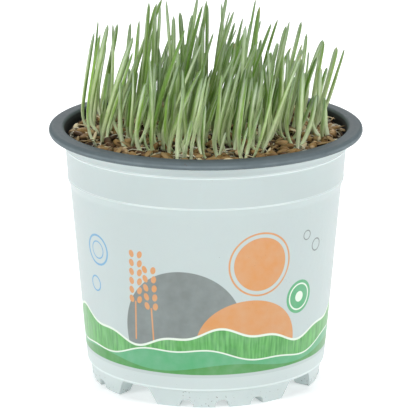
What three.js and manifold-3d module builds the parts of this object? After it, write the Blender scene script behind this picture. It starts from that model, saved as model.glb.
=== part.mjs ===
// Potted wheatgrass: a thin-walled round plant pot, filled with growing medium,
// under a mat of sprouted wheat kernels from which tufts of seedlings stand up.
// Millimetres, +Z up. The origin is the centre of the pot's foot, on the surface it stands on.

import * as THREE from 'three';
import { mergeVertices } from 'three/addons/utils/BufferGeometryUtils.js';
import Module from 'manifold-3d';

const wasm = await Module();
wasm.setup();

// ---------------------------------------------------------------- driving dimensions

const ROUND_SEGMENTS = 52;
const CLEARANCE = 0.3; // between pieces that rest in or on each other
const JOIN = 0.4; // how far one solid reaches into another that it is joined to

// Pot: one formed sheet, with a rolled rim above and four foot pads below
const RIM_RADIUS = 60;
const RIM_HEIGHT = 98; // where the rim is widest
const RIM_TOP = 99.7;
const SHEET = 0.95;
const FOOT_RADIUS = 44;
const BASE_UNDERSIDE = 6.7; // the base plate is carried clear of the ground by the foot pads
const PAD_WIDTH = 7; // of the foot ring, measured along the radius
const PAD_DRAFT = 1; // the pads' two round walls spread this far towards the base plate
const PAD_TURN = 8.2; // degrees from -Y towards +X to the middle of the first pad
const PAD_COUNT = 4;
const GAP_BOTTOM_WIDTH = 18.4;
const GAP_TOP_WIDTH = 11.8;
const NOTCH_TURNS = [-18, 0, 18]; // degrees from the middle of a pad
const NOTCH_WIDTH = 5.2;
const NOTCH_HEIGHT = 2.8;
const NOTCH_SHAPE = [[-1, 0.3], [-0.62, 0.92], [0, 1], [0.62, 0.92], [1, 0.3]]; // of half width, of height
const DRAIN_RADIUS = 2.2; // one drain hole in the base plate over each gap

// Growing medium and the mat of kernels over it
const MAT_RADIUS = 52.4;
const MAT_THICKNESS = 6;
const MAT_TOP = 96.2;
const KERNEL_COUNT = 84;
const KERNEL_LENGTH = 6.6;
const KERNEL_WIDTH = 3.4;
const KERNEL_DEPTH = 3.2;
const KERNEL_TRIES = 6000;

// Tufts: a few seedlings each, joined at a knot of roots that stands in the mat
const TUFT_COUNT = 52;
const TUFT_SPREAD = 47.2; // radius of the round that the tufts fill
const TUFT_JITTER = 1.1;
const KNOT_RADIUS = 4;
const KNOT_DEPTH = 4.6;
const KNOT_SIDES = 6;
const BLADES_IN_TUFT = 4;
const INNER_TUFTS = 22; // the tufts near the middle have one blade more
const OUTER_TUFTS = 34; // the tufts from this one outwards have one blade fewer
const BLADE_ROOT_RADIUS = 2.1; // from the middle of the knot
const BLADE_SUNK = 2.6;
const BLADE_RISE = 51.7; // of the tallest blade, above the mat
const BLADE_RISE_DROP = 12; // the blades at the wall are this much shorter
const TALLEST_AT = [-16, 8]; // the tallest stand a little off the middle
const BLADE_HALF_WIDTH = 1;
const BLADE_THICKNESS = 0.9;
const BLADE_STEPS = 3;
const BLADE_TRIES = 60;
const BLADE_GAP = 0.3;
const REACH = 59.2; // no blade leans out past this radius
const BLADE_SEED = 2070; // any whole number; each gives another growth of grass
const KERNEL_SEED = 733;

// ---------------------------------------------------------------- helpers

const radians = THREE.MathUtils.degToRad;

// A repeatable stream of numbers: each call gives one between low and high
function makeDraw(seed) {
  let state = seed;
  return (low, high) => {
    state = (state * 16807) % 2147483647;
    return low + (high - low) * (state / 2147483647);
  };
}

// A closed geometry as a solid that can be joined and cut
function solidOf(geometry) {
  geometry.deleteAttribute('normal');
  geometry.deleteAttribute('uv');
  const merged = mergeVertices(geometry, 1e-4);
  const corners = merged.index.array;
  const kept = [];
  for (let i = 0; i < corners.length; i += 3) {
    const [a, b, c] = [corners[i], corners[i + 1], corners[i + 2]];
    if (a !== b && b !== c && c !== a) {
      kept.push(a, b, c);
    }
  }
  const vertProperties = new Float32Array(merged.attributes.position.array);
  return new wasm.Manifold(new wasm.Mesh({ numProp: 3, vertProperties, triVerts: new Uint32Array(kept) }));
}

function geometryOf(solid) {
  const mesh = solid.getMesh();
  const geometry = new THREE.BufferGeometry();
  geometry.setAttribute('position', new THREE.BufferAttribute(mesh.vertProperties, 3));
  geometry.setIndex(new THREE.BufferAttribute(mesh.triVerts, 1));
  geometry.computeVertexNormals();
  return geometry;
}

// A solid of revolution about +Z. Its [radius, height] points start and end on the axis, or close
function turned(profile) {
  const points = profile.map(([radius, height]) => new THREE.Vector2(radius, height));
  return solidOf(new THREE.LatheGeometry(points, ROUND_SEGMENTS).rotateX(Math.PI / 2));
}

// A bar of constant section, given in x and z, that runs out along the radius at an angle from -Y
function spoke(outline, innerRadius, outerRadius, turnDegrees) {
  const shape = new THREE.Shape(outline.map(([x, z]) => new THREE.Vector2(x, z)));
  const bar = new THREE.ExtrudeGeometry(shape, {
    depth: outerRadius - innerRadius,
    bevelEnabled: false,
    curveSegments: 5,
  });
  bar.rotateX(Math.PI / 2);
  bar.translate(0, -innerRadius, 0);
  bar.rotateZ(radians(turnDegrees));
  return solidOf(bar);
}

function mesh(name, solid, color, roughness) {
  const material = new THREE.MeshStandardMaterial({ color, roughness, metalness: 0, flatShading: true });
  const made = new THREE.Mesh(geometryOf(solid), material);
  made.name = name;
  return made;
}

// ---------------------------------------------------------------- pot

// The outside of the wall, from the foot to the rim: a plain taper up to two steps under the rim
const WALL_OUTSIDE = [
  [45.1, BASE_UNDERSIDE],
  [46.0, 7.3],
  [46.6, 13.2],
  [52.0, 76.8],
  [53.0, 79.9],
  [53.9, 91.9],
  [54.4, 92.4],
  [54.5, 96.4],
];

const RIM = [
  [59.1, 96.6],
  [RIM_RADIUS, RIM_HEIGHT],
  [59.1, 99.3],
  [56.8, RIM_TOP],
  [54.4, 98.9],
];

const WALL_INSIDE = [
  [53.6, 97.4],
  [53.1, 92.0],
  [52.1, 79.7],
  [51.1, 77.0],
  [45.3, BASE_UNDERSIDE + SHEET],
];

// Trapezoid of the gaps between the pads, a little larger where it leaves the sheet's thickness
function gapOutline(extra) {
  const bottom = GAP_BOTTOM_WIDTH / 2 + extra;
  const top = GAP_TOP_WIDTH / 2 + extra;
  return [
    [-bottom, -1],
    [bottom, -1],
    [top, BASE_UNDERSIDE + extra],
    [-top, BASE_UNDERSIDE + extra],
  ];
}

// Round arch of the small grooves that run out under each pad
function notchOutline(extra) {
  const half = NOTCH_WIDTH / 2 + extra;
  const height = NOTCH_HEIGHT + extra;
  return [[half, -1], ...NOTCH_SHAPE.toReversed().map(([x, z]) => [x * half, z * height]), [-half, -1]];
}

function ringOfPads(inset, floor, ceiling) {
  const inner = FOOT_RADIUS - PAD_WIDTH + inset;
  const outer = FOOT_RADIUS - inset;
  return turned([
    [inner - PAD_DRAFT, ceiling],
    [inner, floor],
    [outer, floor],
    [outer + PAD_DRAFT, ceiling],
    [inner - PAD_DRAFT, ceiling],
  ]);
}

// A foot ring cut into pads. The inset gives the room inside the pads, which the medium fills
function footPads(inset, floor, ceiling) {
  const from = FOOT_RADIUS - 2 * PAD_WIDTH;
  const to = FOOT_RADIUS + PAD_WIDTH;
  let pads = ringOfPads(inset, floor, ceiling);
  for (let i = 0; i < PAD_COUNT; i += 1) {
    const padTurn = PAD_TURN + i * (360 / PAD_COUNT);
    pads = pads.subtract(spoke(gapOutline(inset), from, to, padTurn + 180 / PAD_COUNT));
    for (const notchTurn of NOTCH_TURNS) {
      if (floor < NOTCH_HEIGHT + inset) {
        pads = pads.subtract(spoke(notchOutline(inset), from, to, padTurn + notchTurn));
      }
    }
  }
  return pads;
}

function drainHole(turn) {
  const hole = new THREE.CylinderGeometry(DRAIN_RADIUS, DRAIN_RADIUS, 4, 8).rotateX(Math.PI / 2);
  hole.translate(0, PAD_WIDTH / 2 - FOOT_RADIUS, BASE_UNDERSIDE + SHEET / 2).rotateZ(radians(turn));
  return solidOf(hole);
}

function makePot() {
  const wall = turned([[0, BASE_UNDERSIDE], ...WALL_OUTSIDE, ...RIM, [0, 98.9]]);
  const mouth = [...WALL_INSIDE.toReversed(), [54.4, 98.9], [54.6, RIM_TOP + 1]];
  const room = turned([[0, BASE_UNDERSIDE + SHEET], ...mouth, [0, RIM_TOP + 1]]);
  let pot = wall.add(footPads(0, 0, BASE_UNDERSIDE + JOIN)).subtract(room);
  pot = pot.subtract(footPads(SHEET, SHEET, BASE_UNDERSIDE + SHEET + JOIN));
  for (let i = 0; i < PAD_COUNT; i += 1) {
    pot = pot.subtract(drainHole(PAD_TURN + (i + 0.5) * (360 / PAD_COUNT)));
  }
  return pot;
}

// ---------------------------------------------------------------- growing medium

// It fills the pot from the base plate up to the mat, and the room inside the pads
function makeMedium() {
  const top = MAT_TOP - MAT_THICKNESS - CLEARANCE;
  const floor = BASE_UNDERSIDE + SHEET + CLEARANCE;
  const beside = WALL_INSIDE.toReversed().slice(0, 3).map(([radius, height]) => [radius - CLEARANCE, height]);
  beside[0][1] = floor;
  const edge = beside[2][0] + CLEARANCE / 2;
  const body = turned([[0, floor], ...beside, [edge, top], [0, top]]);
  const settled = NOTCH_HEIGHT + SHEET + 2 * CLEARANCE; // it bridges the grooves
  return body.add(footPads(SHEET + CLEARANCE, settled, floor + JOIN));
}

// ---------------------------------------------------------------- where everything grows

// The point of a blade's centre line at a height above the mat, in plan. A negative height is sunk
function bladeCentre(blade, rise) {
  const flare = blade.flare * (rise > 0 ? 1 - Math.exp(-rise / 5) : rise * 0.12);
  const bend = (rise * rise) / blade.rise;
  return [
    blade.x + flare * Math.cos(blade.turn) + blade.leanX * rise + blade.bendX * bend,
    blade.y + flare * Math.sin(blade.turn) + blade.leanY * rise + blade.bendY * bend,
  ];
}

// Half the width at a height: narrow at the root, widest low down, drawn to a point at the tip
function bladeHalfWidth(blade, rise) {
  const along = THREE.MathUtils.clamp(rise / blade.rise, 0, 1);
  const swell = 0.66 + 0.34 * Math.min(along / 0.22, 1);
  const taper = Math.sqrt(Math.max(1 - along ** 2.6, 0));
  return blade.width * swell * taper;
}

function bladeFacing(blade, rise) {
  return blade.facing + (blade.twist * rise) / blade.rise;
}

// The blade's cross-section at a height, as the plan line from one edge to the other
function bladeEdges(blade, rise) {
  const [x, y] = bladeCentre(blade, rise);
  const half = bladeHalfWidth(blade, rise);
  const dx = half * Math.cos(bladeFacing(blade, rise));
  const dy = half * Math.sin(bladeFacing(blade, rise));
  return [x - dx, y - dy, x + dx, y + dy];
}

function pointToLine(px, py, [ax, ay, bx, by]) {
  const lengthSquared = (bx - ax) ** 2 + (by - ay) ** 2;
  const along = lengthSquared ? ((px - ax) * (bx - ax) + (py - ay) * (by - ay)) / lengthSquared : 0;
  const t = Math.min(Math.max(along, 0), 1);
  return Math.hypot(px - ax - t * (bx - ax), py - ay - t * (by - ay));
}

function side(ax, ay, bx, by, px, py) {
  return (bx - ax) * (py - ay) - (by - ay) * (px - ax);
}

function linesApart(p, q) {
  const astrideQ = side(...q, p[0], p[1]) * side(...q, p[2], p[3]) < 0;
  const astrideP = side(...p, q[0], q[1]) * side(...p, q[2], q[3]) < 0;
  if (astrideQ && astrideP) {
    return 0;
  }
  return Math.min(
    pointToLine(p[0], p[1], q),
    pointToLine(p[2], p[3], q),
    pointToLine(q[0], q[1], p),
    pointToLine(q[2], q[3], p),
  );
}

// Whether two blades stay clear of each other. Those of one tuft may meet near their knot
function bladesClear(blade, other) {
  const start = blade.tuft === other.tuft ? 3 : 0;
  const end = Math.min(blade.z + blade.rise, other.z + other.rise) - blade.z;
  for (let rise = start; rise <= end; rise += 2) {
    const otherRise = rise + blade.z - other.z;
    const apart = linesApart(bladeEdges(blade, rise), bladeEdges(other, otherRise));
    if (apart < BLADE_THICKNESS + BLADE_GAP) {
      return false;
    }
  }
  return true;
}

// Whether a blade stays off the pot's wall below the rim, and inside the pot's outline above it
function bladeInside(blade) {
  for (let rise = 0; rise <= blade.rise; rise += 2) {
    const limit = blade.z + rise < RIM_TOP + 1 ? MAT_RADIUS - 0.6 : REACH;
    const [x, y] = bladeCentre(blade, rise);
    if (Math.hypot(x, y) + bladeHalfWidth(blade, rise) > limit) {
      return false;
    }
  }
  return true;
}

// One seedling of a tuft. All lean a little towards +X, those on the -X side most
function drawBlade(draw, tuft, index, count) {
  const around = radians((360 / count) * index) + tuft.turn + draw(-0.35, 0.35);
  const fromTallest = Math.hypot(tuft.x - TALLEST_AT[0], tuft.y - TALLEST_AT[1]) / TUFT_SPREAD;
  const crown = BLADE_RISE - BLADE_RISE_DROP * fromTallest ** 2;
  const leanTowards = 0.17 - 0.0008 * tuft.x;
  return {
    tuft,
    x: tuft.x + BLADE_ROOT_RADIUS * Math.cos(around),
    y: tuft.y + BLADE_ROOT_RADIUS * Math.sin(around),
    z: tuft.z,
    turn: around + draw(-0.8, 0.8),
    flare: draw(0.8, 5.6),
    leanX: leanTowards + draw(-0.17, 0.17),
    leanY: draw(-0.17, 0.17),
    bendX: draw(-0.07, 0.09),
    bendY: draw(-0.08, 0.08),
    rise: crown * (1 - 0.56 * draw(0, 1) ** 0.95),
    width: BLADE_HALF_WIDTH * draw(0.78, 1.14),
    facing: draw(-1.1, 1.1),
    twist: draw(-0.9, 0.9),
  };
}

// Tufts on a sunflower spiral, each with the blades that found room among those before them
function growTufts() {
  const draw = makeDraw(BLADE_SEED);
  const goldenTurn = radians(137.508);
  const tufts = [];
  const blades = [];
  for (let i = 0; i < TUFT_COUNT; i += 1) {
    const radius = TUFT_SPREAD * Math.sqrt((i + 0.5) / TUFT_COUNT);
    const x = radius * Math.cos(i * goldenTurn) + draw(-TUFT_JITTER, TUFT_JITTER);
    const y = radius * Math.sin(i * goldenTurn) + draw(-TUFT_JITTER, TUFT_JITTER);
    const tuft = { x, y, z: MAT_TOP, turn: draw(0, Math.PI), blades: [] };
    const count = BLADES_IN_TUFT + (i < INNER_TUFTS ? 1 : 0) - (i >= OUTER_TUFTS ? 1 : 0);
    for (let index = 0; index < count; index += 1) {
      for (let attempt = 0; attempt < BLADE_TRIES; attempt += 1) {
        const blade = drawBlade(draw, tuft, index, count);
        if (bladeInside(blade) && blades.every((other) => bladesClear(blade, other))) {
          blades.push(blade);
          tuft.blades.push(blade);
          break;
        }
      }
    }
    tufts.push(tuft);
  }
  return { tufts, blades };
}

// ---------------------------------------------------------------- tufts

// The steps of a blade are closest at its root, where it curves most
function riseAt(blade, fraction) {
  return -BLADE_SUNK + (blade.rise + BLADE_SUNK) * fraction ** 1.6;
}

// A three-sided spike bent along the blade's centre line: two edges and a keel
function bladeSolid(blade) {
  const spike = new THREE.ConeGeometry(1, 1, 3, BLADE_STEPS);
  const at = spike.attributes.position;
  for (let i = 0; i < at.count; i += 1) {
    const fraction = at.getY(i) + 0.5;
    const shrink = Math.max(1 - fraction, 1e-9);
    const across = at.getX(i) / shrink / Math.cos(Math.PI / 6);
    const through = -at.getZ(i) / shrink / 1.5;
    const rise = riseAt(blade, fraction);
    const formed = Math.max(rise, riseAt(blade, 1 / BLADE_STEPS)); // the root keeps the first step's section
    const tip = fraction > 0.999;
    const half = tip ? 0 : bladeHalfWidth(blade, formed);
    const thick = tip ? 0 : BLADE_THICKNESS;
    const facing = bladeFacing(blade, formed);
    const [x, y] = bladeCentre(blade, rise);
    at.setXYZ(
      i,
      x + across * half * Math.cos(facing) - through * thick * Math.sin(facing),
      y + across * half * Math.sin(facing) + through * thick * Math.cos(facing),
      blade.z + rise,
    );
  }
  return solidOf(spike);
}

function knotSolid(tuft, grow, depth) {
  const knot = new THREE.CylinderGeometry(KNOT_RADIUS + grow, KNOT_RADIUS - 0.5 + grow, depth, KNOT_SIDES);
  knot.rotateX(Math.PI / 2).rotateZ(tuft.turn);
  return knot;
}

function makeTuft(tuft) {
  const knot = knotSolid(tuft, 0, KNOT_DEPTH).translate(tuft.x, tuft.y, tuft.z - KNOT_DEPTH / 2);
  let whole = solidOf(knot);
  for (const blade of tuft.blades) {
    whole = whole.add(bladeSolid(blade));
  }
  return whole;
}

// ---------------------------------------------------------------- mat of kernels

// The line along a kernel's back, short of its two ends
function kernelLine(kernel) {
  const reach = KERNEL_LENGTH * 0.3;
  const dx = reach * Math.cos(kernel.turn);
  const dy = reach * Math.sin(kernel.turn);
  return [kernel.x - dx, kernel.y - dy, kernel.x + dx, kernel.y + dy];
}

function kernelFits(kernel, tufts, blades, kernels) {
  const line = kernelLine(kernel);
  const half = KERNEL_WIDTH / 2;
  const near = (others, distance) => others.some((other) => pointToLine(other.x, other.y, line) < distance);
  if (near(tufts, KNOT_RADIUS + CLEARANCE + half) || near(kernels, half)) {
    return false;
  }
  return blades.every((blade) => {
    const apart = [0, 1, 2, 3].map((rise) => linesApart(line, bladeEdges(blade, rise)));
    return Math.min(...apart) > half + BLADE_THICKNESS + BLADE_GAP;
  });
}

// Kernels lie between the knots, wherever a drawn place is free
function scatterKernels(tufts, blades) {
  const draw = makeDraw(KERNEL_SEED);
  const kernels = [];
  for (let attempt = 0; attempt < KERNEL_TRIES && kernels.length < KERNEL_COUNT; attempt += 1) {
    const radius = (MAT_RADIUS - KERNEL_LENGTH * 0.55) * Math.sqrt(draw(0, 1));
    const angle = draw(0, 2 * Math.PI);
    const kernel = {
      x: radius * Math.cos(angle),
      y: radius * Math.sin(angle),
      z: MAT_TOP + draw(0.1, 0.9),
      turn: draw(0, Math.PI),
      tip: draw(-0.3, 0.3),
    };
    if (kernelFits(kernel, tufts, blades, kernels)) {
      kernels.push(kernel);
    }
  }
  return kernels;
}

// A spindle with five sides, pointed at both ends
function kernelSolid(kernel) {
  const grain = new THREE.SphereGeometry(1, 5, 2).rotateZ(Math.PI / 2);
  grain.scale(KERNEL_LENGTH / 2, KERNEL_WIDTH / 2, KERNEL_DEPTH / 2);
  grain.rotateY(kernel.tip).rotateZ(kernel.turn);
  grain.translate(kernel.x, kernel.y, kernel.z);
  return solidOf(grain);
}

function makeMat(tufts, kernels) {
  const bottom = MAT_TOP - MAT_THICKNESS;
  let mat = turned([
    [0, bottom],
    [MAT_RADIUS, bottom],
    [MAT_RADIUS, MAT_TOP],
    [0, MAT_TOP],
  ]);
  for (const kernel of kernels) {
    mat = mat.add(kernelSolid(kernel));
  }
  const open = 6; // the hole is cut on up through anything that lies over it
  for (const tuft of tufts) {
    const hole = knotSolid(tuft, CLEARANCE, KNOT_DEPTH + CLEARANCE + open);
    hole.translate(tuft.x, tuft.y, tuft.z + (open - KNOT_DEPTH - CLEARANCE) / 2);
    mat = mat.subtract(solidOf(hole));
  }
  return mat;
}

// ---------------------------------------------------------------- assembly

const { tufts, blades } = growTufts();
const kernels = scatterKernels(tufts, blades);

const pottedWheatgrass = new THREE.Group();
pottedWheatgrass.add(mesh('pot', makePot(), 0xcfdddd, 0.4));
pottedWheatgrass.add(mesh('growing_medium', makeMedium(), 0x3a2a1c, 1));
pottedWheatgrass.add(mesh('kernel_mat', makeMat(tufts, kernels), 0x9a6a3a, 0.8));
tufts.forEach((tuft, i) => {
  const name = `grass_tuft_${String(i + 1).padStart(2, '0')}`;
  pottedWheatgrass.add(mesh(name, makeTuft(tuft), 0x9dbb84, 0.55));
});

export default pottedWheatgrass;
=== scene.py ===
# %% [markdown]
# # A pot of young wheat grass
# The object is a round plastic plant pot full of peaty growing medium. On the medium lies a mat of
# sprouted wheat kernels, husks and fine roots, and from it stand more than two hundred seedlings.
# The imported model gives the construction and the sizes. This script gives each piece its finished
# surface: a thin formed sheet for the pot, real leaf sections for the blades, and the loose litter
# of the mat. Each cell makes a piece, a finish or a helper, and prints what it made.

# %% Load the frame
import math
import bmesh
import bpy
import numpy as np
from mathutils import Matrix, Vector, noise


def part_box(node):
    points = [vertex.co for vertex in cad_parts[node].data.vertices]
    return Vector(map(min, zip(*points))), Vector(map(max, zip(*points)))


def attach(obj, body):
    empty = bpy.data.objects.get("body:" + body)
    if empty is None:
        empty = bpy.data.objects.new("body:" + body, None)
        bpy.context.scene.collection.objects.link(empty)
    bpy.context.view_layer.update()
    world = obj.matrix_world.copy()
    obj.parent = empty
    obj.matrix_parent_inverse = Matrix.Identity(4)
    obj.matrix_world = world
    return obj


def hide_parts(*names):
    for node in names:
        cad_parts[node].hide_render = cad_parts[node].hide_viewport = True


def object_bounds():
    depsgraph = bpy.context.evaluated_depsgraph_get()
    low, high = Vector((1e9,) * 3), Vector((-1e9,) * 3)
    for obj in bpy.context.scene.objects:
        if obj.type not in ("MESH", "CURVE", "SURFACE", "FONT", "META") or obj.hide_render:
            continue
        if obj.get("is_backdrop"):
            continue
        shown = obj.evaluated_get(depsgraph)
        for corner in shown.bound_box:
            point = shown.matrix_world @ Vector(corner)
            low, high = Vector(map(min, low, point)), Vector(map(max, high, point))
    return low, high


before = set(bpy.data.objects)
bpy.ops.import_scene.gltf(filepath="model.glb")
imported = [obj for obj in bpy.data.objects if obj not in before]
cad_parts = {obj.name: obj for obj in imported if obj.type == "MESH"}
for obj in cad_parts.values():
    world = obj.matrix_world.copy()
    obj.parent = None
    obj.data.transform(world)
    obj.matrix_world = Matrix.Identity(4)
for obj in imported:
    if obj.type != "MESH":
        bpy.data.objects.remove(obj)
cad_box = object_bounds()
MM = 0.001
print("nodes:", len(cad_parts), "box:", [tuple(round(v, 4) for v in c) for c in cad_box])

# %% [markdown]
# The first pieces that any scene needs are a camera and light, because every later choice of colour
# is judged through them. The camera is a long lens that looks slightly down on the pot, so the far
# rim shows behind the grass. It stands almost straight in front of the -Y side. Its distance, its
# height and its tilt belong together: one changed alone would move the pot out of the picture.

# %% Camera
CAMERA_DISTANCE = 1.139
CAMERA_HEIGHT = 0.3812
CAMERA_TILT = math.radians(15.457)
CAMERA_SIDE = 0.65 * MM
CAMERA_LENS = 266.2
SENSOR_WIDTH = 36

camera = bpy.data.objects.new("camera", bpy.data.cameras.new("camera"))
camera.data.lens = CAMERA_LENS
camera.data.sensor_width = SENSOR_WIDTH
camera.location = (CAMERA_SIDE, -CAMERA_DISTANCE, CAMERA_HEIGHT)
camera.rotation_euler = (math.pi / 2 - CAMERA_TILT, 0, 0)
bpy.context.scene.collection.objects.link(camera)
bpy.context.scene.camera = camera
print("camera looks down by", round(math.degrees(CAMERA_TILT), 2), "degrees")

# %% [markdown]
# Soft studio light comes from large round lamps. One hangs overhead, a stronger one stands high
# behind the pot, and two of nearly the same strength at the front left and right model the round
# wall from both sides. The plain view transform keeps a pale object on a pale floor as pale as it
# is.

# %% Lights and world
LAMPS = {
    "overhead": {"place": (0.0, 0.05, 1.3), "size": 1.5, "watts": 7.0},
    "behind": {"place": (0.0, 1.5, 1.1), "size": 1.6, "watts": 17.0},
    "front_left": {"place": (-1.05, -0.9, 0.6), "size": 0.6, "watts": 9.6},
    "front_right": {"place": (1.15, -0.75, 0.55), "size": 0.6, "watts": 8.8},
}
AIM_HEIGHT = 0.07
WORLD_LIGHT = {"Color": (0.96, 0.98, 1.0, 1), "Strength": 0.17}


def add_lamp(name, place, size, watts):
    """Adds a round lamp that looks at the pot, or if it is behind, halfway between it and the pot."""
    lamp = bpy.data.lights.new(name, "AREA")
    lamp.shape = "DISK"
    lamp.size = size
    lamp.energy = watts
    holder = bpy.data.objects.new(name, lamp)
    holder.location = place
    aim = Vector((0, max(0, place[1] * 0.5), AIM_HEIGHT)) - Vector(place)
    holder.rotation_euler = aim.to_track_quat("-Z", "Y").to_euler()
    bpy.context.scene.collection.objects.link(holder)


for name, facts in LAMPS.items():
    add_lamp(name, **facts)
world = bpy.data.worlds.new("studio")
world.use_nodes = True
for label, value in WORLD_LIGHT.items():
    world.node_tree.nodes["Background"].inputs[label].default_value = value
bpy.context.scene.world = world
bpy.context.scene.view_settings.view_transform = "Standard"
print("lamps:", ", ".join(LAMPS))

# %% [markdown]
# Trees of nodes are made in code here, both for shapes and for finishes. A few short helpers keep
# that readable: the main ones add any node and fill its inputs with values or links, add a maths
# node, and start a group. The same maths node works in geometry trees and in shader trees.

# %% Node helpers
def fill(tree, socket, value):
    if isinstance(value, bpy.types.NodeSocket):
        tree.links.new(value, socket)
    else:
        socket.default_value = value


def dress(tree, node, values):
    """Fills several inputs of a node, each with a value or a link."""
    for key, value in values.items():
        fill(tree, node.inputs[key], value)


def add(tree, kind, inputs=None, **settings):
    made = tree.nodes.new(kind)
    for key, value in settings.items():
        setattr(made, key, value)
    dress(tree, made, inputs or {})
    return made


def calc(tree, operation, *values, clamp=False):
    made = add(tree, "ShaderNodeMath", operation=operation, use_clamp=clamp)
    for socket, value in zip(made.inputs, values):
        fill(tree, socket, value)
    return made.outputs[0]


def ramp(tree, value, slope, start):
    """A straight line of a value, kept between 0 and 1."""
    return calc(tree, "MULTIPLY_ADD", value, slope, start, clamp=True)


def place_of(tree):
    """The place on the object itself, so that a finish stays on it when it moves."""
    return add(tree, "ShaderNodeTexCoord").outputs["Object"]


def new_group(name, kind, inputs, outputs):
    tree = bpy.data.node_groups.new(name, kind)
    for label, socket, default in inputs:
        made = tree.interface.new_socket(name=label, in_out="INPUT", socket_type=socket)
        if default is not None:
            made.default_value = default
    for label, socket in outputs:
        tree.interface.new_socket(name=label, in_out="OUTPUT", socket_type=socket)
    return tree, tree.nodes.new("NodeGroupInput"), tree.nodes.new("NodeGroupOutput")


def paint(red, green, blue):
    """A colour given as screen values from 0 to 255, as the linear colour that nodes expect."""
    parts = [v / 255 for v in (red, green, blue)]
    return (*[v / 12.92 if v <= 0.04045 else ((v + 0.055) / 1.055) ** 2.4 for v in parts], 1)


print("helpers ready")

# %% [markdown]
# Some effects come back in several finishes: a fine grain that breaks up the gloss, and the dust
# that dry peat leaves on everything near it. Each is a shader node group with named inputs, built
# once and placed in each material with its own values.

# %% Shared finish groups
FINER = 4.3
PATCH_SCALE = 95.0
PATCH_FROM = 0.38
SPECK_SHARPNESS = 40.0


def make_grain_group():
    """Two scales of noise as one value from 0 to 1, for roughness and bump."""
    tree, given, result = new_group(
        "surface_grain",
        "ShaderNodeTree",
        [("Scale", "NodeSocketFloat", 900.0), ("Stretch", "NodeSocketVector", (1, 1, 1))],
        [("Value", "NodeSocketFloat")],
    )
    drawn = add(tree, "ShaderNodeVectorMath", {0: place_of(tree)}, operation="MULTIPLY")
    fill(tree, drawn.inputs[1], given.outputs["Stretch"])
    coarse = add(tree, "ShaderNodeTexNoise", {"Vector": drawn.outputs[0], "Scale": given.outputs["Scale"]})
    finer = calc(tree, "MULTIPLY", given.outputs["Scale"], FINER)
    fine = add(tree, "ShaderNodeTexNoise", {"Vector": drawn.outputs[0], "Scale": finer})
    both = calc(tree, "ADD", coarse.outputs["Fac"], fine.outputs["Fac"])
    tree.links.new(calc(tree, "MULTIPLY", both, 0.5), result.inputs["Value"])
    return tree


def make_dust_group():
    """Scattered dark specks of peat, more of them near the ground."""
    tree, given, result = new_group(
        "peat_dust",
        "ShaderNodeTree",
        [
            ("Scale", "NodeSocketFloat", 420.0),
            ("Amount", "NodeSocketFloat", 0.2),
            ("Reach", "NodeSocketFloat", 0.012),
        ],
        [("Mask", "NodeSocketFloat")],
    )
    place = place_of(tree)
    height = add(tree, "ShaderNodeSeparateXYZ", {0: place}).outputs["Z"]
    low = calc(tree, "SUBTRACT", 1.0, calc(tree, "DIVIDE", height, given.outputs["Reach"]), clamp=True)
    specks = add(tree, "ShaderNodeTexVoronoi", {"Vector": place, "Scale": given.outputs["Scale"]})
    patches = add(tree, "ShaderNodeTexNoise", {"Vector": place, "Scale": PATCH_SCALE})
    local = calc(tree, "MULTIPLY_ADD", low, 0.3, given.outputs["Amount"])
    patch = calc(tree, "SUBTRACT", patches.outputs["Fac"], PATCH_FROM, clamp=True)
    size = calc(tree, "MULTIPLY", local, patch)
    mask = calc(tree, "SUBTRACT", size, calc(tree, "MULTIPLY", specks.outputs["Distance"], 0.3))
    tree.links.new(calc(tree, "MULTIPLY", mask, SPECK_SHARPNESS, clamp=True), result.inputs["Mask"])
    return tree


GRAIN = make_grain_group()
DUST = make_dust_group()


def grain(tree, scale, stretch=(1, 1, 1)):
    made = add(tree, "ShaderNodeGroup", {"Scale": scale, "Stretch": stretch}, node_tree=GRAIN)
    return made.outputs["Value"]


def new_material(name):
    material = bpy.data.materials.new(name)
    material.use_nodes = True
    tree = material.node_tree
    return material, tree, tree.nodes["Principled BSDF"]


def mix(tree, factor, below, above):
    made = add(tree, "ShaderNodeMix", {0: factor}, data_type="RGBA")
    fill(tree, made.inputs[6], below)
    fill(tree, made.inputs[7], above)
    return made.outputs[2]


def tinted(tree, color, mask, share, tint):
    """Lays a tint over a colour, as far as a share of the mask says."""
    return mix(tree, calc(tree, "MULTIPLY", mask, share), color, tint)


def dusted(tree, color, share, tint, **values):
    """Lays specks of dust over a colour, and gives their mask too."""
    dust = add(tree, "ShaderNodeGroup", values, node_tree=DUST)
    return tinted(tree, color, dust.outputs["Mask"], share, tint), dust.outputs["Mask"]


def stored(tree, label):
    """A value that the mesh carries on each of its points."""
    return add(tree, "ShaderNodeAttribute", attribute_name=label).outputs["Fac"]


def spread(tree, value, low, high):
    """Brings a value from 0 to 1 into another range."""
    return calc(tree, "MULTIPLY_ADD", value, high - low, low)


def bump(tree, shader, height, distance, strength=1.0):
    made = add(tree, "ShaderNodeBump", {"Height": height, "Distance": distance, "Strength": strength})
    tree.links.new(made.outputs["Normal"], shader.inputs["Normal"])


print("shared groups:", GRAIN.name, DUST.name)

# %% [markdown]
# The pot is one formed sheet of plastic. It could be turned as a lathe shape, but its foot isn't
# round all the way: four pads carry it, with a gap between each two, and three small arches run
# through each pad so that water can drain. So the mesh is a grid of columns and rows. Each column
# keeps a fixed distance from the middle line of its gap or arch, which makes their edges straight,
# and each row follows the pot's profile. The loop of rows runs from the middle of the underside,
# up the outside, over the rim and down the inside, so the sheet is closed.

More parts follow.
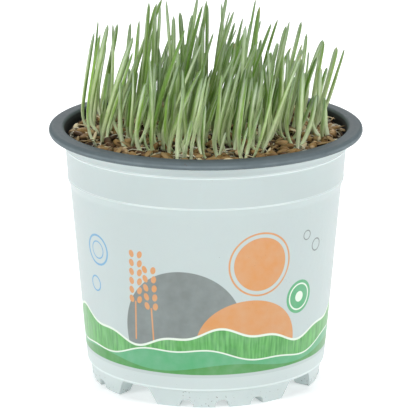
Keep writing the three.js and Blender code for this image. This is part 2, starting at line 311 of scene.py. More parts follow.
# %% Pot sizes, in millimetres
SHEET = 0.95
BASE = 6.7
FOOT_OUTER = 44.0
FOOT_INNER = 37.0
PAD_DRAFT = 1.0
PAD_TURN = math.radians(8.2)
GAP_HALF = (5.9, 9.2)
GROOVE_HALF = 2.6
GROOVE_HEIGHT = 2.8
GROOVE_TURNS = (27, 45, 63)
WALL_OUTSIDE = [(45.0, 6.7), (45.6, 6.9), (46.0, 7.4), (46.6, 13.2), (52.0, 76.8), (53.0, 79.5)]
WALL_OUTSIDE += [(53.06, 79.8), (52.86, 80.1), (53.7, 91.2), (54.2, 91.8), (54.24, 92.1), (54.04, 92.4)]
WALL_OUTSIDE += [(54.3, 96.3)]
RIM = [(59.4, 96.5), (60.0, 97.6), (59.8, 98.9), (59.0, 99.5), (57.0, 99.7), (55.1, 99.65), (54.5, 99.3)]
WALL_INSIDE = [(53.6, 97.4), (53.1, 92.0), (52.1, 79.7), (51.1, 77.0), (45.3, 8.2)]
GAP_STEPS = (0, 2.2, 4.2, 5.5, 5.85, 6.15, 7.0, 7.8, 8.6, 8.95, 9.2, 9.5)
GROOVE_STEPS = (0, 0.3, 0.56, 0.78, 0.92, 0.985, 1.0, 1.08)
PAD_CURVE = 0.04


def gap_depth(distance, grow=0.0):
    """How far down the pad reaches beside a gap, from 0 at the base plate to 1 at the ground."""
    low, high = (edge + grow for edge in GAP_HALF)
    part = np.clip((distance - low) / (high - low), 0, 1)
    return part - PAD_CURVE * np.sin(math.pi * 2 * part)


def groove_height(distance, grow=0.0):
    """How high an arch is at a distance from its middle line."""
    part = np.clip(distance / (GROOVE_HALF + grow), 0, 1)
    return np.where(part < 1, GROOVE_HEIGHT * np.sqrt(1 - part**3), 0)


print("base plate at", BASE, "mm, rim at", max(z for _, z in RIM), "mm")

# %% Columns round the pot
FILL_PARTS = (0.25, 0.5, 0.75)
LEAST_RADIUS = 30.0


def quarter_columns():
    """From one gap to the next: the middle line's angle, and the distance from that line."""
    columns = [("gap", 0, step) for step in GAP_STEPS]
    middles = [math.radians(turn) for turn in GROOVE_TURNS]
    last = ("gap", 0, GAP_STEPS[-1])
    for middle in middles:
        reach = [step * GROOVE_HALF for step in GROOVE_STEPS]
        first = ("groove", middle, -reach[-1])
        columns += [("fill", (last, first), part) for part in FILL_PARTS]
        columns += [("groove", middle, -step) for step in reversed(reach[1:])]
        columns += [("groove", middle, step) for step in reach]
        last = ("groove", middle, reach[-1])
    end = ("gap", math.pi / 2, -GAP_STEPS[-1])
    columns += [("fill", (last, end), part) for part in FILL_PARTS]
    columns += [("gap", math.pi / 2, -step) for step in reversed(GAP_STEPS[1:])]
    return columns


def column_turn(column, radius):
    """The angle at which a column meets a row of some radius."""
    kind, middle, step = column
    if kind != "fill":
        return middle + math.asin(step / min(max(radius, LEAST_RADIUS), FOOT_OUTER + 1))
    before, after = (column_turn(side, radius) for side in middle)
    return before + (after - before) * step


QUARTER = quarter_columns()
COLUMNS = [(column, quarter * math.pi / 2) for quarter in range(4) for column in QUARTER]
FAR = 99.0
GAP_DISTANCE = np.array([abs(c[2]) if c[0] == "gap" else FAR for c, _ in COLUMNS])
GROOVE_DISTANCE = np.array([abs(c[2]) if c[0] == "groove" else FAR for c, _ in COLUMNS])
FIRST_GAP = PAD_TURN - math.pi / 4


def row_points(radii, heights):
    """One row of the pot's grid as points in metres."""
    points = []
    for (column, start), radius, height in zip(COLUMNS, radii, heights):
        turn = FIRST_GAP + start + column_turn(column, radius)
        points.append((radius * math.sin(turn) * MM, -radius * math.cos(turn) * MM, height * MM))
    return points


print("columns:", len(COLUMNS))

# %% Rows along the profile
CUT_SHARE = 0.42
SIDE_PARTS = (0.7, 0.4, 0.2, 0.1)
LIP = ((0.0, 0.42), (0.12, 0.14), (0.42, 0.0))
BASE_RADII = (0.0, 12.0, 24.0, 32.0)


def filleted(profile, radius, steps=3, longest=9.0):
    """Rounds each corner of a profile, and divides its long straight stretches."""
    soft = [Vector(profile[0])]
    for before, corner, after in zip(profile, profile[1:], profile[2:]):
        back = Vector(before) - Vector(corner)
        ahead = Vector(after) - Vector(corner)
        cut = min(radius, back.length * CUT_SHARE, ahead.length * CUT_SHARE)
        start = Vector(corner) + back.normalized() * cut
        end = Vector(corner) + ahead.normalized() * cut
        for step in range(steps + 1):
            t = step / steps
            soft.append(start * (1 - t) ** 2 + Vector(corner) * 2 * t * (1 - t) + end * t**2)
    soft.append(Vector(profile[-1]))
    points = [soft[0]]
    for point in soft[1:]:
        pieces = max(1, math.ceil((point - points[-1]).length / longest))
        start = points[-1]
        points += [start.lerp(point, (i + 1) / pieces) for i in range(pieces)]
    return points


def foot_rows(outer, inner, top, lowest):
    """Rows of the pads from the base plate's middle outwards, with their bottom edges rounded."""
    full = top - lowest
    count = len(COLUMNS)
    rows = [(np.full(count, radius), np.full(count, top)) for radius in BASE_RADII]
    rows.append((np.full(count, inner - PAD_DRAFT), np.full(count, top)))
    for part in SIDE_PARTS:
        height = lowest + full * part
        rows.append((inner - PAD_DRAFT * height / BASE, height))
    for inset, lift in LIP:
        rows.append((np.full(count, inner + inset), lowest + np.minimum(lift, full)))
    rows += [(np.full(count, inner + (outer - inner) * part), lowest) for part in FILL_PARTS]
    for inset, lift in reversed(LIP):
        rows.append((np.full(count, outer - inset), lowest + np.minimum(lift, full)))
    for part in reversed(SIDE_PARTS):
        height = lowest + full * part
        rows.append((outer + PAD_DRAFT * height / BASE, height))
    return rows


def steady(profile):
    """Rows that are the same all round."""
    return [(np.full(len(COLUMNS), r), np.full(len(COLUMNS), z)) for r, z in profile]


def lowest_points(grow):
    """The underside of the pads, at every column."""
    beside_gaps = BASE * (1 - gap_depth(GAP_DISTANCE, grow))
    return np.maximum(groove_height(GROOVE_DISTANCE, grow), beside_gaps)


outside_low = lowest_points(0.0)
inside_low = lowest_points(SHEET)
outside_rows = foot_rows(FOOT_OUTER, FOOT_INNER, BASE, outside_low)
outside_rows += steady(filleted(WALL_OUTSIDE, 0.8))
rim_rows = steady(filleted([WALL_OUTSIDE[-1], *RIM, *WALL_INSIDE], 0.5)[1:])
inside_foot = foot_rows(FOOT_OUTER - SHEET, FOOT_INNER + SHEET, BASE + SHEET, inside_low + SHEET)
rows = outside_rows + rim_rows + list(reversed(inside_foot))
print("rows:", len(outside_rows), "outside,", len(rows), "in all")

# %% Pot mesh
MERGE_DISTANCE = 0.000004
SHARP_ANGLE = math.radians(38)


def plain_mesh(name, bm):
    mesh = bpy.data.meshes.new(name)
    bm.to_mesh(mesh)
    bm.free()
    return mesh


def grid_mesh(name, rings):
    """A closed skin through rings of points; repeated points are merged into seams and poles."""
    bm = bmesh.new()
    made = [[bm.verts.new(point) for point in ring] for ring in rings]
    count = len(rings[0])
    for level, (lower, upper) in enumerate(zip(made, made[1:])):
        for i in range(count):
            j = (i + 1) % count
            face = bm.faces.new((lower[i], lower[j], upper[j], upper[i]))
            face.material_index = level
    bmesh.ops.remove_doubles(bm, verts=bm.verts, dist=MERGE_DISTANCE)
    bmesh.ops.dissolve_degenerate(bm, edges=bm.edges, dist=MERGE_DISTANCE)
    bmesh.ops.recalc_face_normals(bm, faces=bm.faces)
    mesh = plain_mesh(name, bm)
    mesh.shade_smooth()
    return mesh


def add_piece(name, mesh, slot, *stands_for):
    """Puts a finished mesh in the scene, on the one body that this object has."""
    piece = bpy.data.objects.get(name) or bpy.data.objects.new(name, mesh)
    if piece.name not in bpy.context.scene.collection.objects:
        bpy.context.scene.collection.objects.link(piece)
    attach(piece, "root")
    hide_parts(*stands_for)
    return piece


pot_mesh = grid_mesh("pot_shell", [row_points(*row) for row in rows])
for polygon in pot_mesh.polygons:
    polygon.material_index = 0 if polygon.material_index < len(outside_rows) - 1 else 1
pot_mesh.set_sharp_from_angle(angle=SHARP_ANGLE)
pot = bpy.data.objects.new("pot_shell", pot_mesh)
bpy.context.scene.collection.objects.link(pot)
print("pot mesh:", len(pot_mesh.polygons), "faces")

# %% [markdown]
# The white of the pot is plastic with a country scene printed round its wall: hills, a low sun,
# ears of wheat and a few discs and rings. The print could be an image, but it is simple enough to
# draw with maths, and then it stays sharp at any distance. A point's turn round the pot and its
# height are turned into millimetres along the wall, and each motif is a mask in those two values.
# The half of the print at the back mirrors the half at the front. The plain white is painted a little
# paler at the foot and under the rim, as painted light against the shade there, and fine painted
# highlights run where the wall steps.

# %% Print motifs
EDGE = 0.12
FULL_TURN = 6.283


def disc(tree, place, middle, radii, edge=EDGE):
    """A mask that is 1 inside an ellipse."""
    across = calc(tree, "DIVIDE", calc(tree, "SUBTRACT", place[0], middle[0]), radii[0])
    up = calc(tree, "DIVIDE", calc(tree, "SUBTRACT", place[1], middle[1]), radii[1])
    square = calc(tree, "ADD", calc(tree, "MULTIPLY", across, across), calc(tree, "MULTIPLY", up, up))
    depth = calc(tree, "SUBTRACT", 1.0, calc(tree, "SQRT", square))
    return ramp(tree, depth, min(radii) / edge, 0.5)


def ring(tree, place, middle, radius, width):
    """A mask that is 1 on a circle's line."""
    inner = disc(tree, place, middle, (radius - width, radius - width))
    return calc(tree, "SUBTRACT", disc(tree, place, middle, (radius, radius)), inner, clamp=True)


def hill(tree, place, level, waves, edge=EDGE):
    """A mask that is 1 below a rolling line."""
    top = level
    for size, length, start in waves:
        wave = calc(tree, "SINE", calc(tree, "MULTIPLY_ADD", place[0], FULL_TURN / length, start))
        top = calc(tree, "MULTIPLY_ADD", wave, size, top)
    return ramp(tree, calc(tree, "SUBTRACT", top, place[1]), 1 / edge, 0.5)


def between(tree, value, low, high, edge=EDGE):
    """A mask that is 1 from a low value to a high one."""
    above = ramp(tree, calc(tree, "SUBTRACT", value, low), 1 / edge, 0.5)
    below = ramp(tree, calc(tree, "SUBTRACT", high, value), 1 / edge, 0.5)
    return calc(tree, "MULTIPLY", above, below)


EAR_PITCH = 3.6
EAR_FOOT = 14.4
STALK_TOP = 15.5
STALK_HALF = 0.32
GRAIN_ASIDE = 1.75
GRAIN_HALF = (1.25, 1.5)
GRAIN_SLANT = -0.75
GRAIN_LEAN = 0.3


def wheat_ear(tree, place, foot, lean, grains):
    """A stalk with pairs of slanting grains: one grain is drawn, and repeated by height."""
    rise = calc(tree, "SUBTRACT", place[1], foot[1])
    line = calc(tree, "MULTIPLY_ADD", rise, lean, foot[0])
    aside = calc(tree, "ABSOLUTE", calc(tree, "SUBTRACT", place[0], line))
    step = calc(tree, "FRACT", calc(tree, "DIVIDE", rise, EAR_PITCH))
    up = calc(tree, "MULTIPLY_ADD", step, EAR_PITCH, -EAR_PITCH / 2)
    out = calc(tree, "SUBTRACT", aside, GRAIN_ASIDE)
    slant = calc(tree, "MULTIPLY_ADD", out, GRAIN_SLANT, up)
    leaning = calc(tree, "MULTIPLY_ADD", up, GRAIN_LEAN, out)
    one_grain = disc(tree, (leaning, slant), (0, 0), GRAIN_HALF)
    rows_of_grains = between(tree, rise, EAR_FOOT, EAR_FOOT + EAR_PITCH * grains)
    ear = calc(tree, "MULTIPLY", one_grain, rows_of_grains)
    stalk = between(tree, aside, -1, STALK_HALF)
    stalk = calc(tree, "MULTIPLY", stalk, between(tree, rise, 0, STALK_TOP))
    return calc(tree, "MAXIMUM", ear, stalk)


print("motifs: disc, ring, hill, band and wheat ear")

# %% Print and painted light as a node group
WALL_RADIUS = 50.0
ORANGE = paint(211, 146, 84)
LEAF_GREEN = paint(102, 182, 92)
DEEP_GREEN = paint(66, 146, 62)
SLATE = paint(118, 126, 124)
SEA_GREEN = paint(82, 168, 114)
SKY_BLUE = paint(96, 158, 200)
PALE = paint(226, 236, 222)
WHITE = paint(188, 200, 199)
FOOT_PAINTED_LIGHT = paint(200, 211, 210)
STEP_HIGHLIGHT_WHITE = paint(220, 231, 230)
NECK_PAINTED_LIGHT = paint(226, 238, 237)
PRINTED = (13.9, 76.2)
# Painted light: the foot is painted paler to lift the shade low on the pot.
FOOT_PAINTED_LIGHT_BAND = (-5.0, 12.6)
# Painted light: the band under the rim is painted paler to lift the rim's shadow.
NECK_PAINTED_LIGHT_BAND = (94.6, 99.0, 2.4)
# Painted highlights: fine pale lines where the wall steps.
STEP_HIGHLIGHT_BANDS = ((7.4, 8.1), (79.6, 80.3), (91.7, 92.5))
SUN = (21, 57)
BADGE = (40, 41)
RINGS = (-47, 58)
FAR_HILLS = ((3.2, 71, 1.0), (1.1, 23, 0.0))
NEAR_HILLS = ((3.0, 96, 2.2), (0.8, 29, 1.0))
BLADE_STRETCH = 0.11


def make_print_and_light_group():
    outputs = [("Color", "NodeSocketColor"), ("Ink", "NodeSocketFloat")]
    tree, _, result = new_group("meadow_print", "ShaderNodeTree", [], outputs)
    spot = add(tree, "ShaderNodeSeparateXYZ", {0: place_of(tree)})
    depth = calc(tree, "ABSOLUTE", spot.outputs["Y"])
    turn = calc(tree, "ARCTAN2", spot.outputs["X"], depth)
    place = (calc(tree, "MULTIPLY", turn, WALL_RADIUS), calc(tree, "MULTIPLY", spot.outputs["Z"], 1000.0))
    blades = add(tree, "ShaderNodeTexNoise", {"Scale": 1.0, "Detail": 1.0})
    upright = calc(tree, "MULTIPLY", place[1], BLADE_STRETCH)
    streak = add(tree, "ShaderNodeCombineXYZ", {0: place[0], 1: upright})
    tree.links.new(streak.outputs[0], blades.inputs["Vector"])
    grassy = mix(tree, ramp(tree, blades.outputs["Fac"], 3.0, -1.0), DEEP_GREEN, LEAF_GREEN)
    layers = [
        (disc(tree, place, SUN, (10.5, 10.5)), ORANGE),
        (ring(tree, place, SUN, 12.6, 0.7), ORANGE),
        (disc(tree, place, (-9, 30), (24, 25)), SLATE),
        (disc(tree, place, (17, 25), (21, 18)), ORANGE),
        (wheat_ear(tree, place, (-29, 26), 0.05, 6), ORANGE),
        (wheat_ear(tree, place, (-21, 24), -0.03, 5), ORANGE),
        (hill(tree, place, 28.5, FAR_HILLS), PALE),
        (hill(tree, place, 27.6, FAR_HILLS), grassy),
        (hill(tree, place, 21.0, NEAR_HILLS), PALE),
        (hill(tree, place, 20.4, NEAR_HILLS), SEA_GREEN),
        (hill(tree, place, 16.4, ((1.5, 60, 0.5),)), DEEP_GREEN),
        (disc(tree, place, BADGE, (6.6, 6.6)), SEA_GREEN),
        (ring(tree, place, BADGE, 5.4, 0.6), PALE),
        (disc(tree, place, BADGE, (2.1, 2.1)), PALE),
        (ring(tree, place, RINGS, 6.2, 0.8), SKY_BLUE),
        (ring(tree, place, RINGS, 3.6, 0.5), SKY_BLUE),
        (ring(tree, place, (-50, 44), 3.2, 0.6), SKY_BLUE),
        (ring(tree, place, (48, 60), 2.6, 0.5), SLATE),
        (ring(tree, place, (42, 65), 2.0, 0.4), SLATE),
    ]
    printed = between(tree, place[1], *PRINTED)
    # Painted light: paler at the foot, against its shade.
    color = mix(tree, between(tree, place[1], *FOOT_PAINTED_LIGHT_BAND), WHITE, FOOT_PAINTED_LIGHT)
    # Painted highlights along the steps of the wall.
    for step_highlight in STEP_HIGHLIGHT_BANDS:
        color = mix(tree, between(tree, place[1], *step_highlight), color, STEP_HIGHLIGHT_WHITE)
    # Painted light: paler under the rim, against the rim's shadow.
    color = mix(tree, between(tree, place[1], *NECK_PAINTED_LIGHT_BAND), color, NECK_PAINTED_LIGHT)
    ink = 0.0
    for mask, tint in layers:
        shown = calc(tree, "MULTIPLY", mask, printed)
        color = mix(tree, shown, color, tint)
        ink = calc(tree, "MAXIMUM", shown, ink)
    tree.links.new(color, result.inputs["Color"])
    tree.links.new(ink, result.inputs["Ink"])
    return tree


MEADOW_PRINT_AND_LIGHT = make_print_and_light_group()
print("print group:", len(MEADOW_PRINT_AND_LIGHT.nodes), "nodes")

# %% [markdown]
# Both plastics have the faint unevenness of a formed sheet. The white one is satin and slightly
# glossier where ink lies on it, with specks of peat, most of them low down. The dark one makes the
# rim and the inside. It is darker inside, with painted shade and some dirt, darker on top of the rim
# by painted shade, and a painted highlight runs in patches along the rim's outer edge.

# %% Pot finishes
def make_white_plastic():
    material, tree, shader = new_material("white_printed_plastic")
    # The print group's colour also holds the painted light of the plain white: paler bands and highlight
    # lines.
    printed = add(tree, "ShaderNodeGroup", node_tree=MEADOW_PRINT_AND_LIGHT)
    cloud = grain(tree, 60.0)
    base = mix(tree, spread(tree, cloud, -0.5, 1.0), printed.outputs["Color"], paint(194, 210, 210))
    base = mix(tree, 0.72, base, printed.outputs["Color"])
    base, dust = dusted(tree, base, 0.85, paint(70, 55, 42), Scale=900.0, Amount=0.1)
    satin = spread(tree, grain(tree, 240.0), 0.3, 0.44)
    inked = calc(tree, "MULTIPLY_ADD", printed.outputs["Ink"], -0.05, satin)
    dress(tree, shader, {"Base Color": base, "Roughness": calc(tree, "MULTIPLY_ADD", dust, 0.3, inked)})
    dress(tree, shader, {"Subsurface Weight": 0.05, "Subsurface Scale": 0.002})
    dress(tree, shader, {"Coat Weight": 0.12, "Coat Roughness": 0.3})
    bump(tree, shader, grain(tree, 130.0), 0.00035, 0.35)
    return material


INSIDE_RADIUS = 0.0556
SHADE_AND_DIRT_TOP = 0.0989
SHADE_AND_DIRT_SLOPE = 1600.0
TOP_SHADE_FROM = 0.0992
TOP_SHADE_SLOPE = 2200.0
RIM_HIGHLIGHT_BAND = (97.6, 98.3, 0.5)


def make_dark_plastic():
    material, tree, shader = new_material("charcoal_plastic")
    cloud = grain(tree, 140.0)
    base = mix(tree, cloud, paint(84, 96, 100), paint(106, 118, 122))
    base, _ = dusted(tree, base, 0.7, paint(96, 80, 62), Scale=700.0, Amount=0.16)
    spot = add(tree, "ShaderNodeSeparateXYZ", {0: place_of(tree)})
    square = calc(tree, "MULTIPLY", spot.outputs["X"], spot.outputs["X"])
    square = calc(tree, "MULTIPLY_ADD", spot.outputs["Y"], spot.outputs["Y"], square)
    inside = calc(tree, "SUBTRACT", INSIDE_RADIUS, calc(tree, "SQRT", square))
    inside = calc(tree, "MULTIPLY", inside, SHADE_AND_DIRT_SLOPE, clamp=True)
    # Painted shade with some dirt: darker inside the pot, below the rim.
    shade_and_dirt = calc(tree, "SUBTRACT", SHADE_AND_DIRT_TOP, spot.outputs["Z"])
    shade_and_dirt = calc(tree, "MULTIPLY", shade_and_dirt, SHADE_AND_DIRT_SLOPE, clamp=True)
    base = tinted(tree, base, shade_and_dirt, inside, paint(40, 44, 47))
    # Painted shade: the top of the rim is darker, toning down the light that falls on it.
    top_shade = calc(tree, "SUBTRACT", spot.outputs["Z"], TOP_SHADE_FROM)
    top_shade = calc(tree, "MULTIPLY", top_shade, TOP_SHADE_SLOPE, clamp=True)
    base = tinted(tree, base, top_shade, 0.95, paint(71, 82, 87))
    # Painted highlight: a pale line in patches along the rim's outer edge.
    edge = between(tree, calc(tree, "MULTIPLY", spot.outputs["Z"], 1000.0), *RIM_HIGHLIGHT_BAND)
    edge = calc(tree, "MULTIPLY", edge, calc(tree, "SUBTRACT", 1.0, inside))
    rim_highlight = calc(tree, "MULTIPLY", edge, ramp(tree, grain(tree, 34.0), 2.6, -0.8))
    base = tinted(tree, base, rim_highlight, 0.38, paint(158, 170, 176))
    rough = spread(tree, grain(tree, 300.0), 0.44, 0.64)
    dress(tree, shader, {"Base Color": base, "Roughness": rough, "Specular IOR Level": 0.15})
    bump(tree, shader, grain(tree, 420.0, (1, 1, 0.4)), 0.0002, 0.35)
    return material


pot.data.materials.append(make_white_plastic())
pot.data.materials.append(make_dark_plastic())
print("pot finishes:", [m.name for m in pot.data.materials])

# %% [markdown]
# Four round drain holes pierce the base plate, one over each gap. Cutting them with a Boolean
# modifier is simpler than leading the grid round each hole, and because the plate is flat there,
# the extra edges that the cut makes don't show.

# %% Drain holes
DRAIN_RADIUS = 2.2
DRAIN_PLACE = 40.5
DRAIN_SIDES = 28
CUT_DEPTH = 4.0


def hole_cutter():
    bm = bmesh.new()
    for quarter in range(4):
        turn = FIRST_GAP + quarter * math.pi / 2
        radii = {"radius1": DRAIN_RADIUS * MM, "radius2": DRAIN_RADIUS * MM}
        tool = bmesh.ops.create_cone(bm, cap_ends=True, segments=DRAIN_SIDES, depth=CUT_DEPTH * MM, **radii)
        place = Vector((DRAIN_PLACE * math.sin(turn), -DRAIN_PLACE * math.cos(turn), BASE)) * MM
        bmesh.ops.translate(bm, verts=tool["verts"], vec=place)
    return bpy.data.objects.new("drain_cutter", plain_mesh("drain_cutter", bm))


def bake(piece):
    """Keeps what the modifiers of a piece make, as its plain mesh."""
    depsgraph = bpy.context.evaluated_depsgraph_get()
    evaluated = piece.evaluated_get(depsgraph)
    result = bpy.data.meshes.new_from_object(evaluated, preserve_all_data_layers=True, depsgraph=depsgraph)
    piece.modifiers.clear()
    result.name = piece.name
    piece.data = result
    return piece


cutter = hole_cutter()
bpy.context.scene.collection.objects.link(cutter)
drill = pot.modifiers.new("drain_holes", "BOOLEAN")
drill.object = cutter
drill.operation = "DIFFERENCE"
drill.solver = "EXACT"
bake(pot)
bpy.data.objects.remove(cutter)
add_piece("pot_shell", pot.data, "pot_plastic", "pot")
print("pot after drilling:", len(pot.data.polygons), "faces")

# %% [markdown]
# The growing medium under the mat is moist peat with a few pale grains. It keeps the shape of the
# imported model, because it is a plain filling that only shows through the drain holes, and it gets
# a peat finish that the surface of the mat shares.

# %% Peat finish
def make_peat(name, light, dark):
    material, tree, shader = new_material(name)
    lumps = add(tree, "ShaderNodeTexVoronoi", {"Vector": place_of(tree), "Scale": 620.0})
    fibre = grain(tree, 700.0, (1.0, 0.35, 1.0))
    base = mix(tree, fibre, dark, light)
    pale = ramp(tree, grain(tree, 310.0), 14.0, -9.2)
    base = tinted(tree, base, pale, 0.55, paint(150, 120, 84))
    dress(tree, shader, {"Base Color": base, "Roughness": spread(tree, fibre, 0.62, 0.95)})
    height = calc(tree, "MULTIPLY_ADD", lumps.outputs["Distance"], 0.6, fibre)
    bump(tree, shader, height, 0.0009, 0.9)
    return material


PEAT = make_peat("moist_peat", paint(82, 56, 36), paint(32, 21, 14))
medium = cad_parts["growing_medium"]
medium.data.materials.clear()
medium.data.materials.append(PEAT)
print("peat on", medium.name)

# %% [markdown]
# The grass grows by a rule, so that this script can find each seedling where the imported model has
# it. A small generator gives the same numbers each time. Tufts stand on a spiral like a
# sunflower's seeds, and for each blade a tuft tries again until one stays clear of all those before
# it. The test compares the plan lines of two blades at many heights at once, which numpy does
# quickly.

# %% Sizes of the grass, in millimetres
MAT_TOP = 96.2
MAT_BOTTOM = 90.2
MAT_RADIUS = 52.4
TUFT_COUNT = 52
TUFT_SPREAD = 47.2
TUFT_JITTER = 1.1
BLADES_IN_TUFT = 4
INNER_TUFTS = 22
OUTER_TUFTS = 34
ROOT_RADIUS = 2.1
TALLEST = 51.7
TALLEST_DROP = 12.0
TALLEST_AT = (-16, 8)
HALF_WIDTH = 1.0
CLEAR = 0.9 + 0.3
WALL_LIMIT = MAT_RADIUS - 0.6
OUTER_LIMIT = 59.2
ABOVE_RIM = 99.7 + 1
LEVELS = np.arange(0, 60, 2.0)
GRASS_SEED = 2070
BLADE_TRIES = 60
KNOT_HEIGHT = 3
OPENING_HEIGHT = 5
DRAW_FACTOR = 16807
DRAW_RANGE = 2147483647


def make_draw(seed):
    """Gives evenly spread numbers between two limits, the same ones each time for one seed."""
    state = seed

    def draw(low, high):
        nonlocal state
        state = (state * DRAW_FACTOR) % DRAW_RANGE
        return low + (high - low) * (state / DRAW_RANGE)

    return draw


def blade_centre(blade, rise):
    """Where a blade's centre line is in plan, at heights above the mat."""
    rise = np.asarray(rise, float)
    opened = np.where(rise > 0, 1 - np.exp(-np.maximum(rise, 0) / OPENING_HEIGHT), rise * 0.12)
    bend = rise * rise / blade["rise"]
    x = blade["x"] + blade["flare"] * opened * math.cos(blade["turn"])
    y = blade["y"] + blade["flare"] * opened * math.sin(blade["turn"])
    x = x + blade["lean_x"] * rise + blade["bend_x"] * bend
    y = y + blade["lean_y"] * rise + blade["bend_y"] * bend
    return x, y


def blade_half_width(blade, rise):
    """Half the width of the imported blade, which is a little narrower at its foot."""
    along = np.clip(np.asarray(rise, float) / blade["rise"], 0, 1)
    swell = 0.66 + 0.34 * np.minimum(along / 0.22, 1)
    return blade["width"] * swell * np.sqrt(np.maximum(1 - along**2.6, 0))


def blade_edges(blade, rise):
    """The two ends of a blade's flat line in plan, at heights above the mat."""
    x, y = blade_centre(blade, rise)
    half = blade_half_width(blade, rise)
    facing = blade["facing"] + blade["twist"] * rise / blade["rise"]
    dx = half * np.cos(facing)
    dy = half * np.sin(facing)
    return np.stack([x - dx, y - dy, x + dx, y + dy])


print("heights compared for each pair:", len(LEVELS))

# %% Room between blades
def point_to_line(px, py, line):
    """The distance in plan from a point to a line that has two ends."""
    ax, ay, bx, by = line
    square = (bx - ax) ** 2 + (by - ay) ** 2
    along = ((px - ax) * (bx - ax) + (py - ay) * (by - ay)) / np.where(square == 0, 1, square)
    t = np.clip(along, 0, 1)
    return np.hypot(px - ax - t * (bx - ax), py - ay - t * (by - ay))


def side(line, px, py):
    """Positive on one side of a line and negative on the other."""
    ax, ay, bx, by = line
    return (bx - ax) * (py - ay) - (by - ay) * (px - ax)


def splits(line, other):
    """Whether the two ends of another line are on different sides of a line."""
    return side(line, other[0], other[1]) * side(line, other[2], other[3]) < 0


def lines_apart(p, q):
    """The least distance between two lines, and 0 where they cross."""
    crossing = splits(q, p) & splits(p, q)
    nearest = np.minimum(point_to_line(p[0], p[1], q), point_to_line(p[2], p[3], q))
    nearest = np.minimum(nearest, point_to_line(q[0], q[1], p))
    nearest = np.minimum(nearest, point_to_line(q[2], q[3], p))
    return np.where(crossing, 0, nearest)


def blade_inside(blade):
    """Whether a blade keeps off the wall, and above the rim stays within the outer limit."""
    rises = LEVELS[LEVELS <= blade["rise"]]
    limit = np.where(MAT_TOP + rises < ABOVE_RIM, WALL_LIMIT, OUTER_LIMIT)
    x, y = blade_centre(blade, rises)
    return bool(np.all(np.hypot(x, y) + blade_half_width(blade, rises) <= limit))


def all_clear(blade, others, known, rises, start):
    """Whether a blade keeps off others whose plan lines are already known at the same heights."""
    if not len(others):
        return True
    lines = blade_edges(blade, LEVELS + start)[:, None, :]
    apart = lines_apart(lines, np.stack(known, axis=1))
    top = np.minimum(blade["rise"], np.array(rises))[:, None]
    return not bool(np.any((apart < CLEAR) & (LEVELS + start <= top)))


print("clearance between blades:", round(CLEAR, 2), "mm")

# %% Grow the tufts
def draw_blade(draw, tuft, index, count):
    """One try at a blade: taller near the tallest place, and leaning slightly to the right."""
    around = math.radians(360 / count * index) + tuft["turn"] + draw(-0.35, 0.35)
    from_tallest = math.hypot(tuft["x"] - TALLEST_AT[0], tuft["y"] - TALLEST_AT[1]) / TUFT_SPREAD
    crown = TALLEST - TALLEST_DROP * from_tallest**2
    lean = 0.17 - 0.0008 * tuft["x"]
    blade = {"x": tuft["x"] + ROOT_RADIUS * math.cos(around), "y": tuft["y"] + ROOT_RADIUS * math.sin(around)}
    blade["turn"] = around + draw(-0.8, 0.8)
    blade["flare"] = draw(0.8, 5.6)
    blade["lean_x"] = lean + draw(-0.17, 0.17)
    blade["lean_y"] = draw(-0.17, 0.17)
    blade["bend_x"] = draw(-0.07, 0.09)
    blade["bend_y"] = draw(-0.08, 0.08)
    blade["rise"] = crown * (1 - 0.56 * draw(0, 1) ** 0.95)
    blade["width"] = HALF_WIDTH * draw(0.78, 1.14)
    blade["facing"] = draw(-1.1, 1.1)
    blade["twist"] = draw(-0.9, 0.9)
    return blade


def grow_tufts():
    draw = make_draw(GRASS_SEED)
    golden = math.radians(137.508)
    tufts, earlier, lines, rises = [], [], [], []
    for i in range(TUFT_COUNT):
        radius = TUFT_SPREAD * math.sqrt((i + 0.5) / TUFT_COUNT)
        x = radius * math.cos(i * golden) + draw(-TUFT_JITTER, TUFT_JITTER)
        y = radius * math.sin(i * golden) + draw(-TUFT_JITTER, TUFT_JITTER)
        tuft = {"x": x, "y": y, "turn": draw(0, math.pi), "blades": []}
        own_lines, own_rises = [], []
        count = BLADES_IN_TUFT + (1 if i < INNER_TUFTS else 0) - (1 if i >= OUTER_TUFTS else 0)
        for index in range(count):
            for _ in range(BLADE_TRIES):
                blade = draw_blade(draw, tuft, index, count)
                clear = blade_inside(blade) and all_clear(blade, earlier, lines, rises, 0)
                if clear and all_clear(blade, tuft["blades"], own_lines, own_rises, KNOT_HEIGHT):
                    tuft["blades"].append(blade)
                    own_lines.append(blade_edges(blade, LEVELS + KNOT_HEIGHT))
                    own_rises.append(blade["rise"])
                    break
        earlier += tuft["blades"]
        lines += [blade_edges(blade, LEVELS) for blade in tuft["blades"]]
        rises += [blade["rise"] for blade in tuft["blades"]]
        tufts.append(tuft)
    return tufts


tufts = grow_tufts()
blades = [blade for tuft in tufts for blade in tuft["blades"]]
print("tufts:", len(tufts), "blades:", len(blades))

# %% [markdown]
# Between the blades lies the lumpy surface of the peat. It is a round grid whose points are lifted
# by noise of three sizes: close rings give enough detail to cast small shadows, and the sides and
# the underside close it to a disc.

# %% Surface of the peat
BED_TOP = MAT_TOP - 0.8
BED_LUMPS = 1.15
BED_LIMIT = 0.2
BED_CHAMFER = 0.4
BED_RINGS = 74
BED_SECTORS = 210


def bed_height(x, y):
    """The height of the peat's surface in millimetres."""
    broad = noise.noise(Vector((x * 0.09, y * 0.09, 3.0)))
    lumps = noise.noise(Vector((x * 0.38, y * 0.38, 7.0)))
    crumbs = noise.noise(Vector((x * 1.15, y * 1.15, 11.0)))
    height = BED_TOP + BED_LUMPS * (0.35 * broad + 0.5 * lumps + 0.3 * crumbs)
    return min(height, MAT_TOP + BED_LIMIT)


